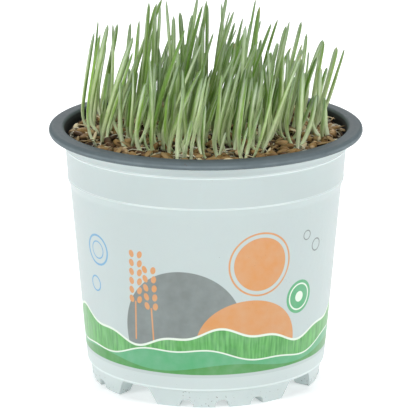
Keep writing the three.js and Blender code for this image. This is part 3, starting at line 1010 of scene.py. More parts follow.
def bed_rings():
    rings = [[(0, 0, MAT_BOTTOM * MM)] * BED_SECTORS]
    for radius in (MAT_RADIUS * 0.5, MAT_RADIUS - BED_CHAMFER, MAT_RADIUS):
        lift = BED_CHAMFER if radius == MAT_RADIUS else 0
        rings.append(bed_ring(radius, lambda x, y, lift=lift: MAT_BOTTOM + lift))
    for step in range(BED_RINGS):
        rings.append(bed_ring(MAT_RADIUS * (1 - step / BED_RINGS), bed_height))
    rings.append([(0, 0, bed_height(0, 0) * MM)] * BED_SECTORS)
    return rings


def bed_ring(radius, height):
    ring = []
    for sector in range(BED_SECTORS):
        turn = 2 * math.pi * sector / BED_SECTORS
        x = radius * math.cos(turn)
        y = radius * math.sin(turn)
        ring.append((x * MM, y * MM, height(x, y) * MM))
    return ring


bed_mesh = grid_mesh("peat_bed", bed_rings())
for polygon in bed_mesh.polygons:
    polygon.material_index = 0
bed_mesh.materials.append(PEAT)
add_piece("peat_bed", bed_mesh, "medium", "kernel_mat")
print("peat bed:", len(bed_mesh.polygons), "faces")

# %% [markdown]
# Hundreds of kernels, husks and crumbs lie on the peat, far too many to place by hand. Geometry
# Nodes make them: a mesh of loose points carries each one's turn, size and tone as attributes, and
# the tree puts one of several small shapes on each point. The tree ends with real geometry, and
# the result is kept as a plain mesh, so nothing is left that depends on the tree.

# %% Scatter tree
def point_mesh(name, places, facts, edges=()):
    """A mesh of points in millimetres with named values on each of them."""
    mesh = bpy.data.meshes.new(name)
    mesh.from_pydata([tuple(v * MM for v in place) for place in places], list(edges), [])
    for label, values in facts.items():
        flat = np.asarray(values, float)
        kind = "FLOAT_VECTOR" if flat.ndim == 2 else "FLOAT"
        made = mesh.attributes.new(label, kind, "POINT")
        made.data.foreach_set("vector" if flat.ndim == 2 else "value", flat.ravel())
    return mesh


def read(tree, label, kind="FLOAT"):
    """A named value that the points of the mesh carry, for a geometry tree."""
    made = add(tree, "GeometryNodeInputNamedAttribute", {"Name": label}, data_type=kind)
    return made.outputs["Attribute"]


def put_out(tree, given, result, geometry):
    """Ends a tree: what it placed becomes real geometry, and gets the finish."""
    real = add(tree, "GeometryNodeRealizeInstances", {0: geometry})
    done = add(tree, "GeometryNodeSetMaterial", {"Geometry": real.outputs[0]})
    fill(tree, done.inputs["Material"], given.outputs["Finish"])
    tree.links.new(done.outputs[0], result.inputs[0])
    return tree


def scaled(tree, vector, factor):
    made = add(tree, "ShaderNodeVectorMath", {0: vector}, operation="SCALE")
    fill(tree, made.inputs["Scale"], factor)
    return made.outputs[0]


def make_scatter_tree():
    shapes = [(f"Shape {i}", "NodeSocketObject", None) for i in (1, 2, 3)]
    tree, given, result = new_group(
        "scatter_shapes",
        "GeometryNodeTree",
        [
            ("Points", "NodeSocketGeometry", None),
            *shapes,
            ("Size", "NodeSocketFloat", 1.0),
            ("Finish", "NodeSocketMaterial", None),
        ],
        [("Geometry", "NodeSocketGeometry")],
    )
    choices = add(tree, "GeometryNodeGeometryToInstance")
    for label, _, _ in reversed(shapes):
        shape = add(tree, "GeometryNodeObjectInfo", {"Object": given.outputs[label], "As Instance": True})
        tree.links.new(shape.outputs["Geometry"], choices.inputs[0])
    sized = scaled(tree, read(tree, "extent", "FLOAT_VECTOR"), given.outputs["Size"])
    facing = add(tree, "FunctionNodeEulerToRotation", {0: read(tree, "facing", "FLOAT_VECTOR")})
    spread_out = add(
        tree,
        "GeometryNodeInstanceOnPoints",
        {
            "Points": given.outputs["Points"],
            "Instance": choices.outputs[0],
            "Pick Instance": True,
            "Instance Index": read(tree, "choice"),
            "Rotation": facing.outputs[0],
            "Scale": sized,
        },
    )
    return put_out(tree, given, result, spread_out.outputs[0])


def grown(name, source, tree, settings):
    """Runs a tree once on a source mesh, and keeps the result as the object's plain mesh."""
    holder = bpy.data.objects.new(name, source)
    bpy.context.scene.collection.objects.link(holder)
    modifier = holder.modifiers.new("grow", "NODES")
    modifier.node_group = tree
    for item in tree.interface.items_tree:
        if item.item_type == "SOCKET" and item.in_out == "INPUT" and item.name in settings:
            modifier[item.identifier] = settings[item.name]
    return bake(holder)


SCATTER = make_scatter_tree()


def scatter(name, points, shapes, finish, kind):
    """Puts shapes on points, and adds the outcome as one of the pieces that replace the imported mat."""
    settings = {f"Shape {i}": shape for i, shape in enumerate(shapes, start=1)}
    piece = grown(name, points, SCATTER, settings | {"Finish": finish})
    return add_piece(name, piece.data, kind, "kernel_mat")


print("scatter tree inputs:", [i.name for i in SCATTER.interface.items_tree if i.in_out == "INPUT"])

# %% [markdown]
# A wheat kernel is a plump spindle, flatter on the side with the crease, blunt at the brush end
# and with the germ at the other. Once it has sprouted it is swollen and its skin is loose. Three
# small variants of one formula are enough, because turn, size and tone differ on every point.

# %% Shapes of kernels
HIDDEN = bpy.data.collections.new("shapes_to_repeat")
KERNEL_STATIONS = (-1.0, -0.9, -0.62, -0.22, 0.22, 0.62, 0.9, 1.0)
KERNEL_SIDES = 8


def keep_aside(name, mesh):
    """Holds a shape in a collection that isn't part of the scene, for the tree to repeat."""
    shape = bpy.data.objects.new(name, mesh)
    HIDDEN.objects.link(shape)
    return shape


def kernel_shape(name, bend, plump, crease):
    """A unit kernel along X: rings of points between two closed ends."""
    rings = []
    for along in KERNEL_STATIONS:
        girth = (1 - abs(along) ** 2.4) ** 0.5 * (1 + 0.12 * along * plump)
        ring_points = []
        for step in range(KERNEL_SIDES):
            turn = 2 * math.pi * step / KERNEL_SIDES
            y = girth * math.cos(turn)
            z = girth * math.sin(turn)
            pinch = crease * max(0.0, -math.sin(turn)) ** 6 * girth
            ring_points.append((along, y, z * 0.92 + pinch + bend * (along * along - 0.4)))
        rings.append(ring_points)
    mesh = grid_mesh(name, rings)
    for label, axis in (("lengthwise", 0), ("upwards", 2)):
        measure = mesh.attributes.new(label, "FLOAT", "POINT")
        measure.data.foreach_set("value", [v.co[axis] for v in mesh.vertices])
    return keep_aside(name, mesh)


kernel_shapes = [
    kernel_shape("kernel_plump", -0.10, 1.0, 0.35),
    kernel_shape("kernel_slim", 0.14, -0.6, 0.5),
    kernel_shape("kernel_bent", -0.28, 0.3, 0.2),
]
print("kernel faces:", [len(k.data.polygons) for k in kernel_shapes])

# %% Places of kernels
KERNEL_SEED = 733
KERNEL_HALF = (3.25, 1.62, 1.6)
KERNEL_LENGTH = 6.6
KERNEL_LINE = 1.98
KERNEL_REACH = 3.3
KNOT_RADIUS = 4.0
KNOT_GAP = 0.3
WALL_GAP = 0.3
FILL_MARGIN = 2.6
ROOMY = 1.7
SHARED_TRIES = 6000
SHARED_COUNT = 84
FILL_TRIES = 9000
KERNEL_COUNT = 205
SHOOT_ROOM = 1.25
KERNEL_ROOM = 2.1
chance = np.random.default_rng(41)


def kernel_line(x, y, turn):
    """The two ends of the line in plan that stands for a kernel in the tests."""
    dx = KERNEL_LINE * math.cos(turn)
    dy = KERNEL_LINE * math.sin(turn)
    return x - dx, y - dy, x + dx, y + dy


def shared_kernels():
    """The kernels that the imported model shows, by the same rule."""
    draw = make_draw(KERNEL_SEED)
    root_lines = np.stack([blade_edges(blade, np.arange(4.0)) for blade in blades], axis=1)
    knots = np.array([(tuft["x"], tuft["y"]) for tuft in tufts]).T
    kernels = []
    for _ in range(SHARED_TRIES):
        if len(kernels) == SHARED_COUNT:
            break
        radius = (MAT_RADIUS - KERNEL_LENGTH * 0.55) * math.sqrt(draw(0, 1))
        angle = draw(0, 2 * math.pi)
        x = radius * math.cos(angle)
        y = radius * math.sin(angle)
        z = MAT_TOP + draw(0.1, 0.9)
        turn = draw(0, math.pi)
        tip = draw(-0.3, 0.3)
        line = kernel_line(x, y, turn)
        if np.min(point_to_line(*knots, line)) < KNOT_RADIUS + KNOT_GAP + ROOMY:
            continue
        if kernels and np.min(point_to_line(*np.array(kernels).T[:2], line)) < ROOMY:
            continue
        if np.min(lines_apart(np.array(line)[:, None, None], root_lines)) > ROOMY + CLEAR:
            kernels.append((x, y, z, turn, tip))
    return kernels


def more_kernels(kernels, wanted):
    """Fills the spaces that are left, and leaves out places where a shoot stands."""
    shoots = np.array([np.ravel(blade_centre(blade, 1.0)) for blade in blades]).T
    for _ in range(FILL_TRIES):
        if len(kernels) >= wanted:
            break
        radius = (MAT_RADIUS - FILL_MARGIN) * math.sqrt(chance.random())
        angle = chance.random() * 2 * math.pi
        x = radius * math.cos(angle)
        y = radius * math.sin(angle)
        turn = chance.random() * math.pi
        line = kernel_line(x, y, turn)
        others = np.array(kernels).T
        if math.hypot(x, y) + KERNEL_REACH * abs(math.cos(angle - turn)) > MAT_RADIUS - WALL_GAP:
            continue
        if np.min(point_to_line(*shoots, line)) < SHOOT_ROOM:
            continue
        if np.min(point_to_line(*others[:2], line)) < KERNEL_ROOM:
            continue
        rest = bed_height(x, y) + chance.uniform(0.4, 2.0)
        kernels.append((x, y, rest, turn, chance.uniform(-0.7, 0.7)))
    return kernels


kernels = more_kernels(shared_kernels(), KERNEL_COUNT)
print("kernels:", len(kernels))

# %% Kernels
def kernel_points(kernels):
    """A point for each kernel, with its turn, its size, its tone and which shape it takes."""
    count = len(kernels)
    table = np.array(kernels)
    rolled = np.stack([chance.uniform(-0.9, 0.9, count), table[:, 4], table[:, 3]], axis=1)
    flipped = chance.random(count) < 0.5
    rolled[flipped, 2] += math.pi
    size = chance.uniform(0.84, 1.06, (count, 1)) * np.array([KERNEL_HALF]) * MM
    facts = {"facing": rolled, "extent": size, "choice": chance.integers(0, 3, count)}
    facts["tone"] = chance.random(count)
    return point_mesh("kernel_points", table[:, :3], facts)


def make_kernel_finish():
    material, tree, shader = new_material("sprouted_kernel_skin")
    tone = stored(tree, "tone")
    warm = mix(tree, tone, paint(98, 72, 34), paint(166, 132, 78))
    red = ramp(tree, tone, -7.0, 2.4)
    warm = mix(tree, red, warm, paint(76, 50, 26))
    pale = ramp(tree, tone, 9.0, -7.9)
    warm = mix(tree, pale, warm, paint(206, 172, 126))
    mottle = grain(tree, 520.0, (0.6, 0.6, 1.0))
    warm = mix(tree, ramp(tree, mottle, 2.6, -1.1), warm, paint(112, 78, 38))
    # Darker on each kernel's underside: soil, and painted shade under the kernel.
    soil_and_shade = calc(tree, "MULTIPLY_ADD", mottle, 1.2, -0.18)
    soil_and_shade = ramp(tree, stored(tree, "upwards"), -1.3, soil_and_shade)
    warm = tinted(tree, warm, soil_and_shade, 0.8, paint(46, 29, 17))
    germ = ramp(tree, stored(tree, "lengthwise"), 6.0, -4.1)
    warm = tinted(tree, warm, germ, 0.6, paint(214, 190, 150))
    dress(tree, shader, {"Base Color": warm, "Roughness": spread(tree, mottle, 0.34, 0.62)})
    dress(tree, shader, {"Specular IOR Level": 0.3, "Subsurface Weight": 0.08, "Subsurface Scale": 0.001})
    bump(tree, shader, grain(tree, 1300.0, (1.0, 1.0, 0.5)), 0.00035, 0.7)
    return material


SKIN = make_kernel_finish()
kernel_piece = scatter("wheat_kernels", kernel_points(kernels), kernel_shapes, SKIN, "kernels")
print("kernel piece:", len(kernel_piece.data.polygons), "faces")

# %% [markdown]
# Loose husks and crumbs lie over and between the kernels. A husk is a thin boat-shaped scale, so
# its shape is a flattened ring of points drawn along a bow. A crumb of peat or bark is an uneven
# lump. Both use the scatter tree again, and their finish follows the tone of each one: about a
# third of the husks are pale, and only a few of the crumbs.

# %% Husks and crumbs
HUSK_STATIONS = (-1.0, -0.75, -0.3, 0.25, 0.7, 1.0)
HUSK_SECTION = ((-1, 0), (-0.5, 0.5), (0.5, 0.5), (1, 0), (0.5, -0.5), (-0.5, -0.5))
HUSK_COUNT = 430
HUSK_EXTENT = ((1.7, 0.5, 0.28), (3.3, 1.2, 0.5))
HUSK_LIFT = 3.0
CRUMB_COUNT = 1500
CRUMB_EXTENT = (0.25, 1.05)
CRUMB_LIFT = 0.7
CRUMBS_AT_WALL = 0.3


def husk_shape(name, bow, cup):
    """A thin scale: the bow bends it along its length, and the cup across."""
    rings = []
    for along in HUSK_STATIONS:
        half = 0.0 if abs(along) == 1 else (1 - along * along) ** 0.6
        shell = []
        for across, lift in HUSK_SECTION:
            y = across * half
            shell.append((along, y, lift * half * 0.9 + bow * (1 - along * along) + cup * y * y))
        rings.append(shell)
    return keep_aside(name, grid_mesh(name, rings))


def crumb_shape(name, seed):
    uneven = np.random.default_rng(seed)
    bm = bmesh.new()
    bmesh.ops.create_icosphere(bm, subdivisions=1, radius=1)
    for vert in bm.verts:
        vert.co *= uneven.uniform(0.62, 1.15)
    return keep_aside(name, plain_mesh(name, bm))


def litter_points(name, count, low, high, lift, edge_share=0.0):
    """Points for loose litter: a share of it lies along the wall, the rest anywhere on the peat."""
    radius = (MAT_RADIUS - 0.9) * np.sqrt(chance.random(count))
    near_wall = chance.random(count) < edge_share
    radius[near_wall] = MAT_RADIUS - chance.uniform(0.5, 2.6, near_wall.sum())
    angle = chance.random(count) * 2 * math.pi
    x = radius * np.cos(angle)
    y = radius * np.sin(angle)
    z = [bed_height(a, b) + lift * chance.random() for a, b in zip(x, y)]
    facts = {"extent": chance.uniform(low, high, (count, 3)) * MM}
    tilts = chance.uniform(-0.5, 0.5, (2, count))
    facts["facing"] = np.stack([*tilts, chance.uniform(0, 6.28, count)], axis=1)
    facts["choice"] = chance.integers(0, 3, count)
    facts["tone"] = chance.random(count)
    return point_mesh(name, np.stack([x, y, z], axis=1), facts)


def make_litter_finish(name, dark, middle, light, pale_from, roughness):
    material, tree, shader = new_material(name)
    tone = stored(tree, "tone")
    fibre = grain(tree, 900.0, (0.4, 1.0, 1.0))
    color = mix(tree, ramp(tree, fibre, 0.8, tone), dark, middle)
    pale = ramp(tree, tone, 25.0, -25.0 * pale_from)
    color = mix(tree, pale, color, light)
    dress(tree, shader, {"Base Color": color, "Roughness": spread(tree, fibre, *roughness)})
    bump(tree, shader, fibre, 0.0003, 0.7)
    return material


husk_forms = {"husk_open": (0.9, 0.5), "husk_flat": (0.3, -0.4), "husk_curled": (-0.7, 0.9)}
husks = [husk_shape(name, *form) for name, form in husk_forms.items()]
crumbs = [crumb_shape(name, seed) for name, seed in (("crumb_a", 5), ("crumb_b", 6), ("crumb_c", 7))]
husk_tones = (paint(112, 88, 50), paint(160, 132, 84), paint(222, 206, 166))
straw = make_litter_finish("dry_husk", *husk_tones, 0.66, (0.5, 0.8))
crumb_tones = (paint(30, 21, 13), paint(92, 66, 38), paint(206, 196, 176))
loose = make_litter_finish("peat_crumb", *crumb_tones, 0.955, (0.6, 0.95))
points = litter_points("husk_points", HUSK_COUNT, *HUSK_EXTENT, HUSK_LIFT)
husk_piece = scatter("wheat_husks", points, husks, straw, "kernels")
points = litter_points("crumb_points", CRUMB_COUNT, *CRUMB_EXTENT, CRUMB_LIFT, CRUMBS_AT_WALL)
crumb_piece = scatter("peat_crumbs", points, crumbs, loose, "medium")
print("husk faces:", len(husk_piece.data.polygons), "crumb faces:", len(crumb_piece.data.polygons))

# %% [markdown]
# Fine pale roots creep over the surface before they turn down. Each is a thread: a line of points
# with a thickness on each, swept with a small round section. Threads are what Curve to Mesh is
# for, and the tree scales the section at each point by the point's own value.

# %% Root threads
ROOT_COUNT = 520
ROOT_POINTS = 9
ROOT_SIDES = 5
ROOT_THICKNESS = 0.00024
ROOT_LIFT = 0.25
ROOT_DIVE = 1.1
TURN_BACK = 1.9


def make_thread_tree():
    tree, given, result = new_group(
        "sweep_threads",
        "GeometryNodeTree",
        [
            ("Lines", "NodeSocketGeometry", None),
            ("Sides", "NodeSocketInt", ROOT_SIDES),
            ("Thickness", "NodeSocketFloat", ROOT_THICKNESS),
            ("Finish", "NodeSocketMaterial", None),
        ],
        [("Geometry", "NodeSocketGeometry")],
    )
    curve = add(tree, "GeometryNodeMeshToCurve", {"Mesh": given.outputs["Lines"]})
    section = add(tree, "GeometryNodeCurvePrimitiveCircle", {"Resolution": given.outputs["Sides"]})
    fill(tree, section.inputs["Radius"], given.outputs["Thickness"])
    sweep = add(tree, "GeometryNodeCurveToMesh", {"Curve": curve.outputs[0], "Fill Caps": True})
    dress(tree, sweep, {"Profile Curve": section.outputs[0], "Scale": read(tree, "thick")})
    return put_out(tree, given, result, sweep.outputs[0])


def root_lines():
    """Threads that start at kernels, wander over the peat and turn back at the wall."""
    places, thick, tone, edges = [], [], [], []
    for _ in range(ROOT_COUNT):
        x, y, _, turn, _ = kernels[int(chance.integers(0, len(kernels)))]
        heading = turn + chance.uniform(-0.6, 0.6)
        curl = chance.uniform(-0.35, 0.35)
        stride = chance.uniform(0.8, 1.7)
        arch = chance.uniform(0.2, 2.4)
        shade = chance.random()
        for step in range(ROOT_POINTS):
            part = step / (ROOT_POINTS - 1)
            if step and math.hypot(x, y) > MAT_RADIUS - 1.2:
                heading += TURN_BACK
            x += stride * math.cos(heading) if step else 0
            y += stride * math.sin(heading) if step else 0
            heading += curl + chance.uniform(-0.25, 0.25)
            scale = min(1.0, (MAT_RADIUS - 0.5) / math.hypot(x, y))
            height = bed_height(x * scale, y * scale) + ROOT_LIFT
            height = height + arch * math.sin(math.pi * part) - ROOT_DIVE * part**3
            places.append((x * scale, y * scale, height))
            thick.append(1 - 0.55 * part)
            tone.append(shade)
            if step:
                edges.append((len(places) - 2, len(places) - 1))
    return point_mesh("root_lines", places, {"thick": thick, "tone": tone}, edges)


root_tones = (paint(146, 126, 84), paint(196, 182, 142), paint(234, 230, 208))
fibre = make_litter_finish("root_fibre", *root_tones, 0.5, (0.5, 0.7))
settings = {"Sides": ROOT_SIDES, "Thickness": ROOT_THICKNESS, "Finish": fibre}
root_piece = grown("root_threads", root_lines(), make_thread_tree(), settings)
add_piece("root_threads", root_piece.data, "kernels", "kernel_mat")
print("root threads:", ROOT_COUNT, "faces:", len(root_piece.data.polygons))

# %% [markdown]
# A young wheat shoot has three parts. At its foot is a pale round sheath. Out of it comes the first
# leaf, which is rolled at first and opens into a narrow blade with a shallow fold along its middle,
# and in some shoots a second, thinner leaf follows. All three are the same kind of form: a closed
# section whose width, thickness and fold change along a bent line. So the script works out the
# line and those three values, and one tree sweeps a section and sets each point from them. The
# first leaf is round and pale at its foot already, so only some shoots get a sheath as well. The
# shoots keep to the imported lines, except at the foot, where many leave their kernel in a hook.

# %% Lines of shoots
LEAF_POINTS = 22
SHEATH_POINTS = 7
SUNK = 1.6
HOOK_HEIGHT = 7.5
# Blades crowded near this place are coloured deeper green, partly as painted shade.
CROWD_Y = 6.0
CROWD_REACH = (14, 46)
LEAF_HALF_THICKNESS = 0.2
SECOND_POINTS = 14
SHEATH_SHARE = 0.22
SECOND_SHARE = 0.15
LATE_SHARE = 0.35
LATE_TRIES = 12
LATE_RANGES = {
    "turn": (-1.5, 1.5),
    "flare": (0.5, 2.5),
    "rise": (6, 17),
    "lean_x": (-0.1, 0.35),
    "lean_y": (-0.2, 0.2),
    "width": (0.55, 0.75),
    "facing": (-1, 1),
    "twist": (-0.5, 0.5),
}
habit = np.random.default_rng(97)


def smooth_step(values, low, high):
    """From 0 at the low value to 1 at the high one, without corners."""
    t = np.clip((values - low) / (high - low), 0, 1)
    return t * t * (3 - 2 * t)


def frame_along(points, facing):
    """For each point of a line, the direction across the leaf and the one out of its face."""
    tangent = np.gradient(points, axis=0)
    tangent /= np.linalg.norm(tangent, axis=1, keepdims=True)
    across = np.stack([np.cos(facing), np.sin(facing), np.zeros(len(facing))], axis=1)
    across -= tangent * np.sum(across * tangent, axis=1, keepdims=True)
    across /= np.linalg.norm(across, axis=1, keepdims=True)
    return across, np.cross(tangent, across)


def line_facts(points, facing, half, thick, fold, **others):
    """Everything that the leaf tree and the leaf finish read on the points of one line."""
    across, out = frame_along(points, facing)
    facts = {"middle": points * MM, "across": across, "out": out}
    facts |= {"half": half * MM, "thick": thick * MM, "fold": fold}
    return facts | {label: np.broadcast_to(value, len(points)) for label, value in others.items()}


def shoot_centre(blade, rise):
    """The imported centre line, with the hook by which a shoot leaves its kernel at the foot."""
    x, y = blade_centre(blade, rise)
    low = np.minimum((np.asarray(rise, float) - HOOK_HEIGHT) / (HOOK_HEIGHT + SUNK), 0)
    reach = blade["hook"] * low * low
    return x + reach * math.cos(blade["hook_turn"]), y + reach * math.sin(blade["hook_turn"])


def add_habit(blade):
    """Chooses how blunt the tip is, and how far from under the blade its foot starts."""
    blade["blunt"] = habit.uniform(9.0, 24.0)
    blade["hook_turn"] = habit.uniform(-1.3, 1.3)
    blade["hook"] = habit.choice([0.8, 3.2, 5.6], p=[0.35, 0.35, 0.3])
    x, y = shoot_centre(blade, -SUNK)
    if math.hypot(x, y) > MAT_RADIUS - 1.6:
        blade["hook"] = 0.0


def leaf_half_width(blade, rise):
    """Nearly even in width, and drawn to a point near the end: the blunter the tip, the later."""
    along = np.clip(np.asarray(rise, float) / blade["rise"], 0, 1)
    swell = 0.66 + 0.34 * np.minimum(along / 0.26, 1)
    return 0.88 * blade["width"] * swell * np.maximum(1 - along ** blade["blunt"], 0) ** 0.55


def first_leaf(blade, tone):
    """The main leaf: rolled and pale at the foot, then open, folded and green."""
    part = np.linspace(0, 1, LEAF_POINTS)
    part = part + 0.55 * part * (part - 1) * (1 - 2 * part)
    part = part ** (1 + 0.012 * blade["rise"])
    rise = -SUNK + (blade["rise"] + SUNK) * part
    x, y = shoot_centre(blade, rise)
    points = np.stack([x, y, MAT_TOP + rise], axis=1)
    along = np.clip(rise / blade["rise"], 0, 1)
    crowd = 1 - smooth_step(math.hypot(blade["x"], blade["y"] - CROWD_Y), *CROWD_REACH)
    opened = smooth_step(rise, 5 + 9 * tone, 17 + 11 * tone)
    half = np.maximum(leaf_half_width(blade, rise), 0.07)
    rolled = half * 0.85
    thick = rolled * (1 - opened) + np.minimum(LEAF_HALF_THICKNESS, half * 0.6) * opened
    facing = blade["facing"] + blade["twist"] * np.maximum(rise, 0) / blade["rise"]
    fold = opened * 1.15 * (1 - 0.5 * along)
    pale = (1 - smooth_step(rise, -2.0, 8 + 16 * tone)) * (1 - 0.55 * crowd)
    return line_facts(points, facing, half, thick, fold, along=along, pale=pale, tone=tone, crowd=crowd)


def second_leaf(blade, tone):
    """A thinner leaf that leaves the roll of the first one and stays beside it."""
    start = blade["rise"] * habit.uniform(0.2, 0.32)
    length = blade["rise"] * habit.uniform(0.3, 0.52)
    aside = habit.uniform(0.8, 1.5) * habit.choice([-1, 1])
    part = np.linspace(0, 1, SECOND_POINTS)
    rise = start + length * part
    x, y = blade_centre(blade, rise)
    facing = blade["facing"] + blade["twist"] * rise / blade["rise"]
    offset = aside * smooth_step(part, 0, 0.7) + 0.25
    x = x + offset * np.cos(facing + 0.9)
    y = y + offset * np.sin(facing + 0.9)
    points = np.stack([x, y, MAT_TOP + rise], axis=1)
    half = 0.62 * blade["width"] * np.sqrt(np.maximum(1 - part**2.4, 0.004))
    half = half * (0.5 + 0.5 * smooth_step(part, 0, 0.3))
    thick = np.minimum(half * 0.7, 0.24)
    fold = 0.4 * smooth_step(part, 0.1, 0.6)
    return line_facts(points, facing + 0.5, half, thick, fold, along=part, pale=0.0, tone=tone, crowd=0.5)


def sheath(blade, tone, height):
    """A short round sleeve about the foot of the first leaf."""
    rise = np.linspace(-SUNK, height, SHEATH_POINTS)
    x, y = shoot_centre(blade, rise)
    points = np.stack([x, y, MAT_TOP + rise], axis=1)
    inner = leaf_half_width(blade, rise)
    half = inner + np.linspace(0.2, 0.07, SHEATH_POINTS)
    half[-1] = inner[-1] * 0.9
    thick = half * 0.9
    facing = blade["facing"] + blade["twist"] * np.maximum(rise, 0) / blade["rise"]
    pale = 1 - smooth_step(rise, -2.0, 10 + 16 * tone)
    along = 0.3 * rise / height
    return line_facts(points, facing, half, thick, 0 * half, along=along, pale=pale, tone=tone, crowd=0.0)


blade_lines = [blade_edges(blade, LEVELS) for blade in blades]
blade_rises = [blade["rise"] for blade in blades]


def shoot_lines(blade):
    """The lines of one shoot: its first leaf, and in some a sheath or a second leaf."""
    tone = habit.random()
    add_habit(blade)
    lines = [first_leaf(blade, tone)]
    if habit.random() < SHEATH_SHARE:
        lines.append(sheath(blade, tone, habit.uniform(4.0, 8.0)))
    if habit.random() < SECOND_SHARE:
        lines.append(second_leaf(blade, habit.random()))
    return lines


def late_sprout(tuft):
    """A shoot that has only just come up, where there is room for one beside the tuft."""
    for _ in range(LATE_TRIES):
        turn = habit.uniform(0, 2 * math.pi)
        away = habit.uniform(1.0, 5.5)
        sprout = {"x": tuft["x"] + away * math.cos(turn), "y": tuft["y"] + away * math.sin(turn)}
        sprout |= {label: habit.uniform(*limits) for label, limits in LATE_RANGES.items()}
        sprout |= {"bend_x": 0.0, "bend_y": 0.0}
        if blade_inside(sprout) and all_clear(sprout, blades, blade_lines, blade_rises, 0):
            return [sprout]
    return []


def tuft_source(name, tuft):
    """All the lines of a tuft as one mesh of points and edges."""
    lines = [line for blade in tuft["blades"] for line in shoot_lines(blade)]
    for sprout in late_sprout(tuft) if habit.random() < LATE_SHARE else []:
        add_habit(sprout)
        lines.append(first_leaf(sprout, habit.random()))
    facts = {label: np.concatenate([line[label] for line in lines]) for label in lines[0]}
    edges, first = [], 0
    for line in lines:
        count = len(line["along"])
        edges += [(first + i, first + i + 1) for i in range(count - 1)]
        first += count
    return point_mesh(name, facts["middle"] / MM, facts, edges)


print("points along a leaf:", LEAF_POINTS)

# %% Leaf tree
SECTION_RADIUS = 0.001
SECTION_POINTS = 10


def make_leaf_tree():
    tree, given, result = new_group(
        "sweep_leaves",
        "GeometryNodeTree",
        [
            ("Lines", "NodeSocketGeometry", None),
            ("Section Points", "NodeSocketInt", SECTION_POINTS),
            ("Width", "NodeSocketFloat", 1.0),
            ("Finish", "NodeSocketMaterial", None),
        ],
        [("Geometry", "NodeSocketGeometry")],
    )
    curve = add(tree, "GeometryNodeMeshToCurve", {"Mesh": given.outputs["Lines"]})
    count = given.outputs["Section Points"]
    sizes = {"Resolution": count, "Radius": SECTION_RADIUS}
    section = add(tree, "GeometryNodeCurvePrimitiveCircle", sizes).outputs[0]
    around = calc(tree, "DIVIDE", add(tree, "GeometryNodeInputIndex").outputs[0], count)
    named = add(tree, "GeometryNodeStoreNamedAttribute", domain="POINT", data_type="FLOAT")
    dress(tree, named, {"Geometry": section, "Name": "around", "Value": around})
    sweep = add(tree, "GeometryNodeCurveToMesh", {"Curve": curve.outputs[0], "Fill Caps": True})
    fill(tree, sweep.inputs["Profile Curve"], named.outputs[0])
    turn = calc(tree, "MULTIPLY", read(tree, "around"), 2 * math.pi)
    half = calc(tree, "MULTIPLY", read(tree, "half"), given.outputs["Width"])
    side_part = calc(tree, "COSINE", turn)
    side_move = calc(tree, "MULTIPLY", side_part, half)
    bowed = calc(tree, "SUBTRACT", calc(tree, "POWER", calc(tree, "ABSOLUTE", side_part), 1.5), 0.5)
    folded = calc(tree, "MULTIPLY", calc(tree, "MULTIPLY", bowed, read(tree, "fold")), half)
    out_move = calc(tree, "MULTIPLY_ADD", calc(tree, "SINE", turn), read(tree, "thick"), folded)
    sideways = scaled(tree, read(tree, "across", "FLOAT_VECTOR"), side_move)
    outwards = scaled(tree, read(tree, "out", "FLOAT_VECTOR"), out_move)
    moved = add(tree, "ShaderNodeVectorMath", {0: sideways, 1: outwards}, operation="ADD")
    final = add(tree, "ShaderNodeVectorMath", {0: moved.outputs[0]}, operation="ADD")
    fill(tree, final.inputs[1], read(tree, "middle", "FLOAT_VECTOR"))
    placed = add(tree, "GeometryNodeSetPosition", {"Geometry": sweep.outputs[0]})
    fill(tree, placed.inputs["Position"], final.outputs[0])
    return put_out(tree, given, result, placed.outputs[0])


LEAVES = make_leaf_tree()
print("leaf tree inputs:", [i.name for i in LEAVES.interface.items_tree if i.in_out == "INPUT"])

# %% [markdown]
# Fresh wheat leaves are a soft grey green, because a fine wax bloom covers the blade. A painted
# highlight runs as a pale streak along each blade, at a place that differs from shoot to shoot. Low
# down among crowded blades the green is deeper and the bloom thinner, partly a deeper leaf colour and
# partly painted shade, and the green is deeper towards the tips too. The foot of the shoot saw little
# light and stays nearly white. Fine veins run the whole length. The finish reads the values on each
# point: how far along it is, where it lies around the section, how pale it is, how crowded its place
# is, and its shoot's tone.

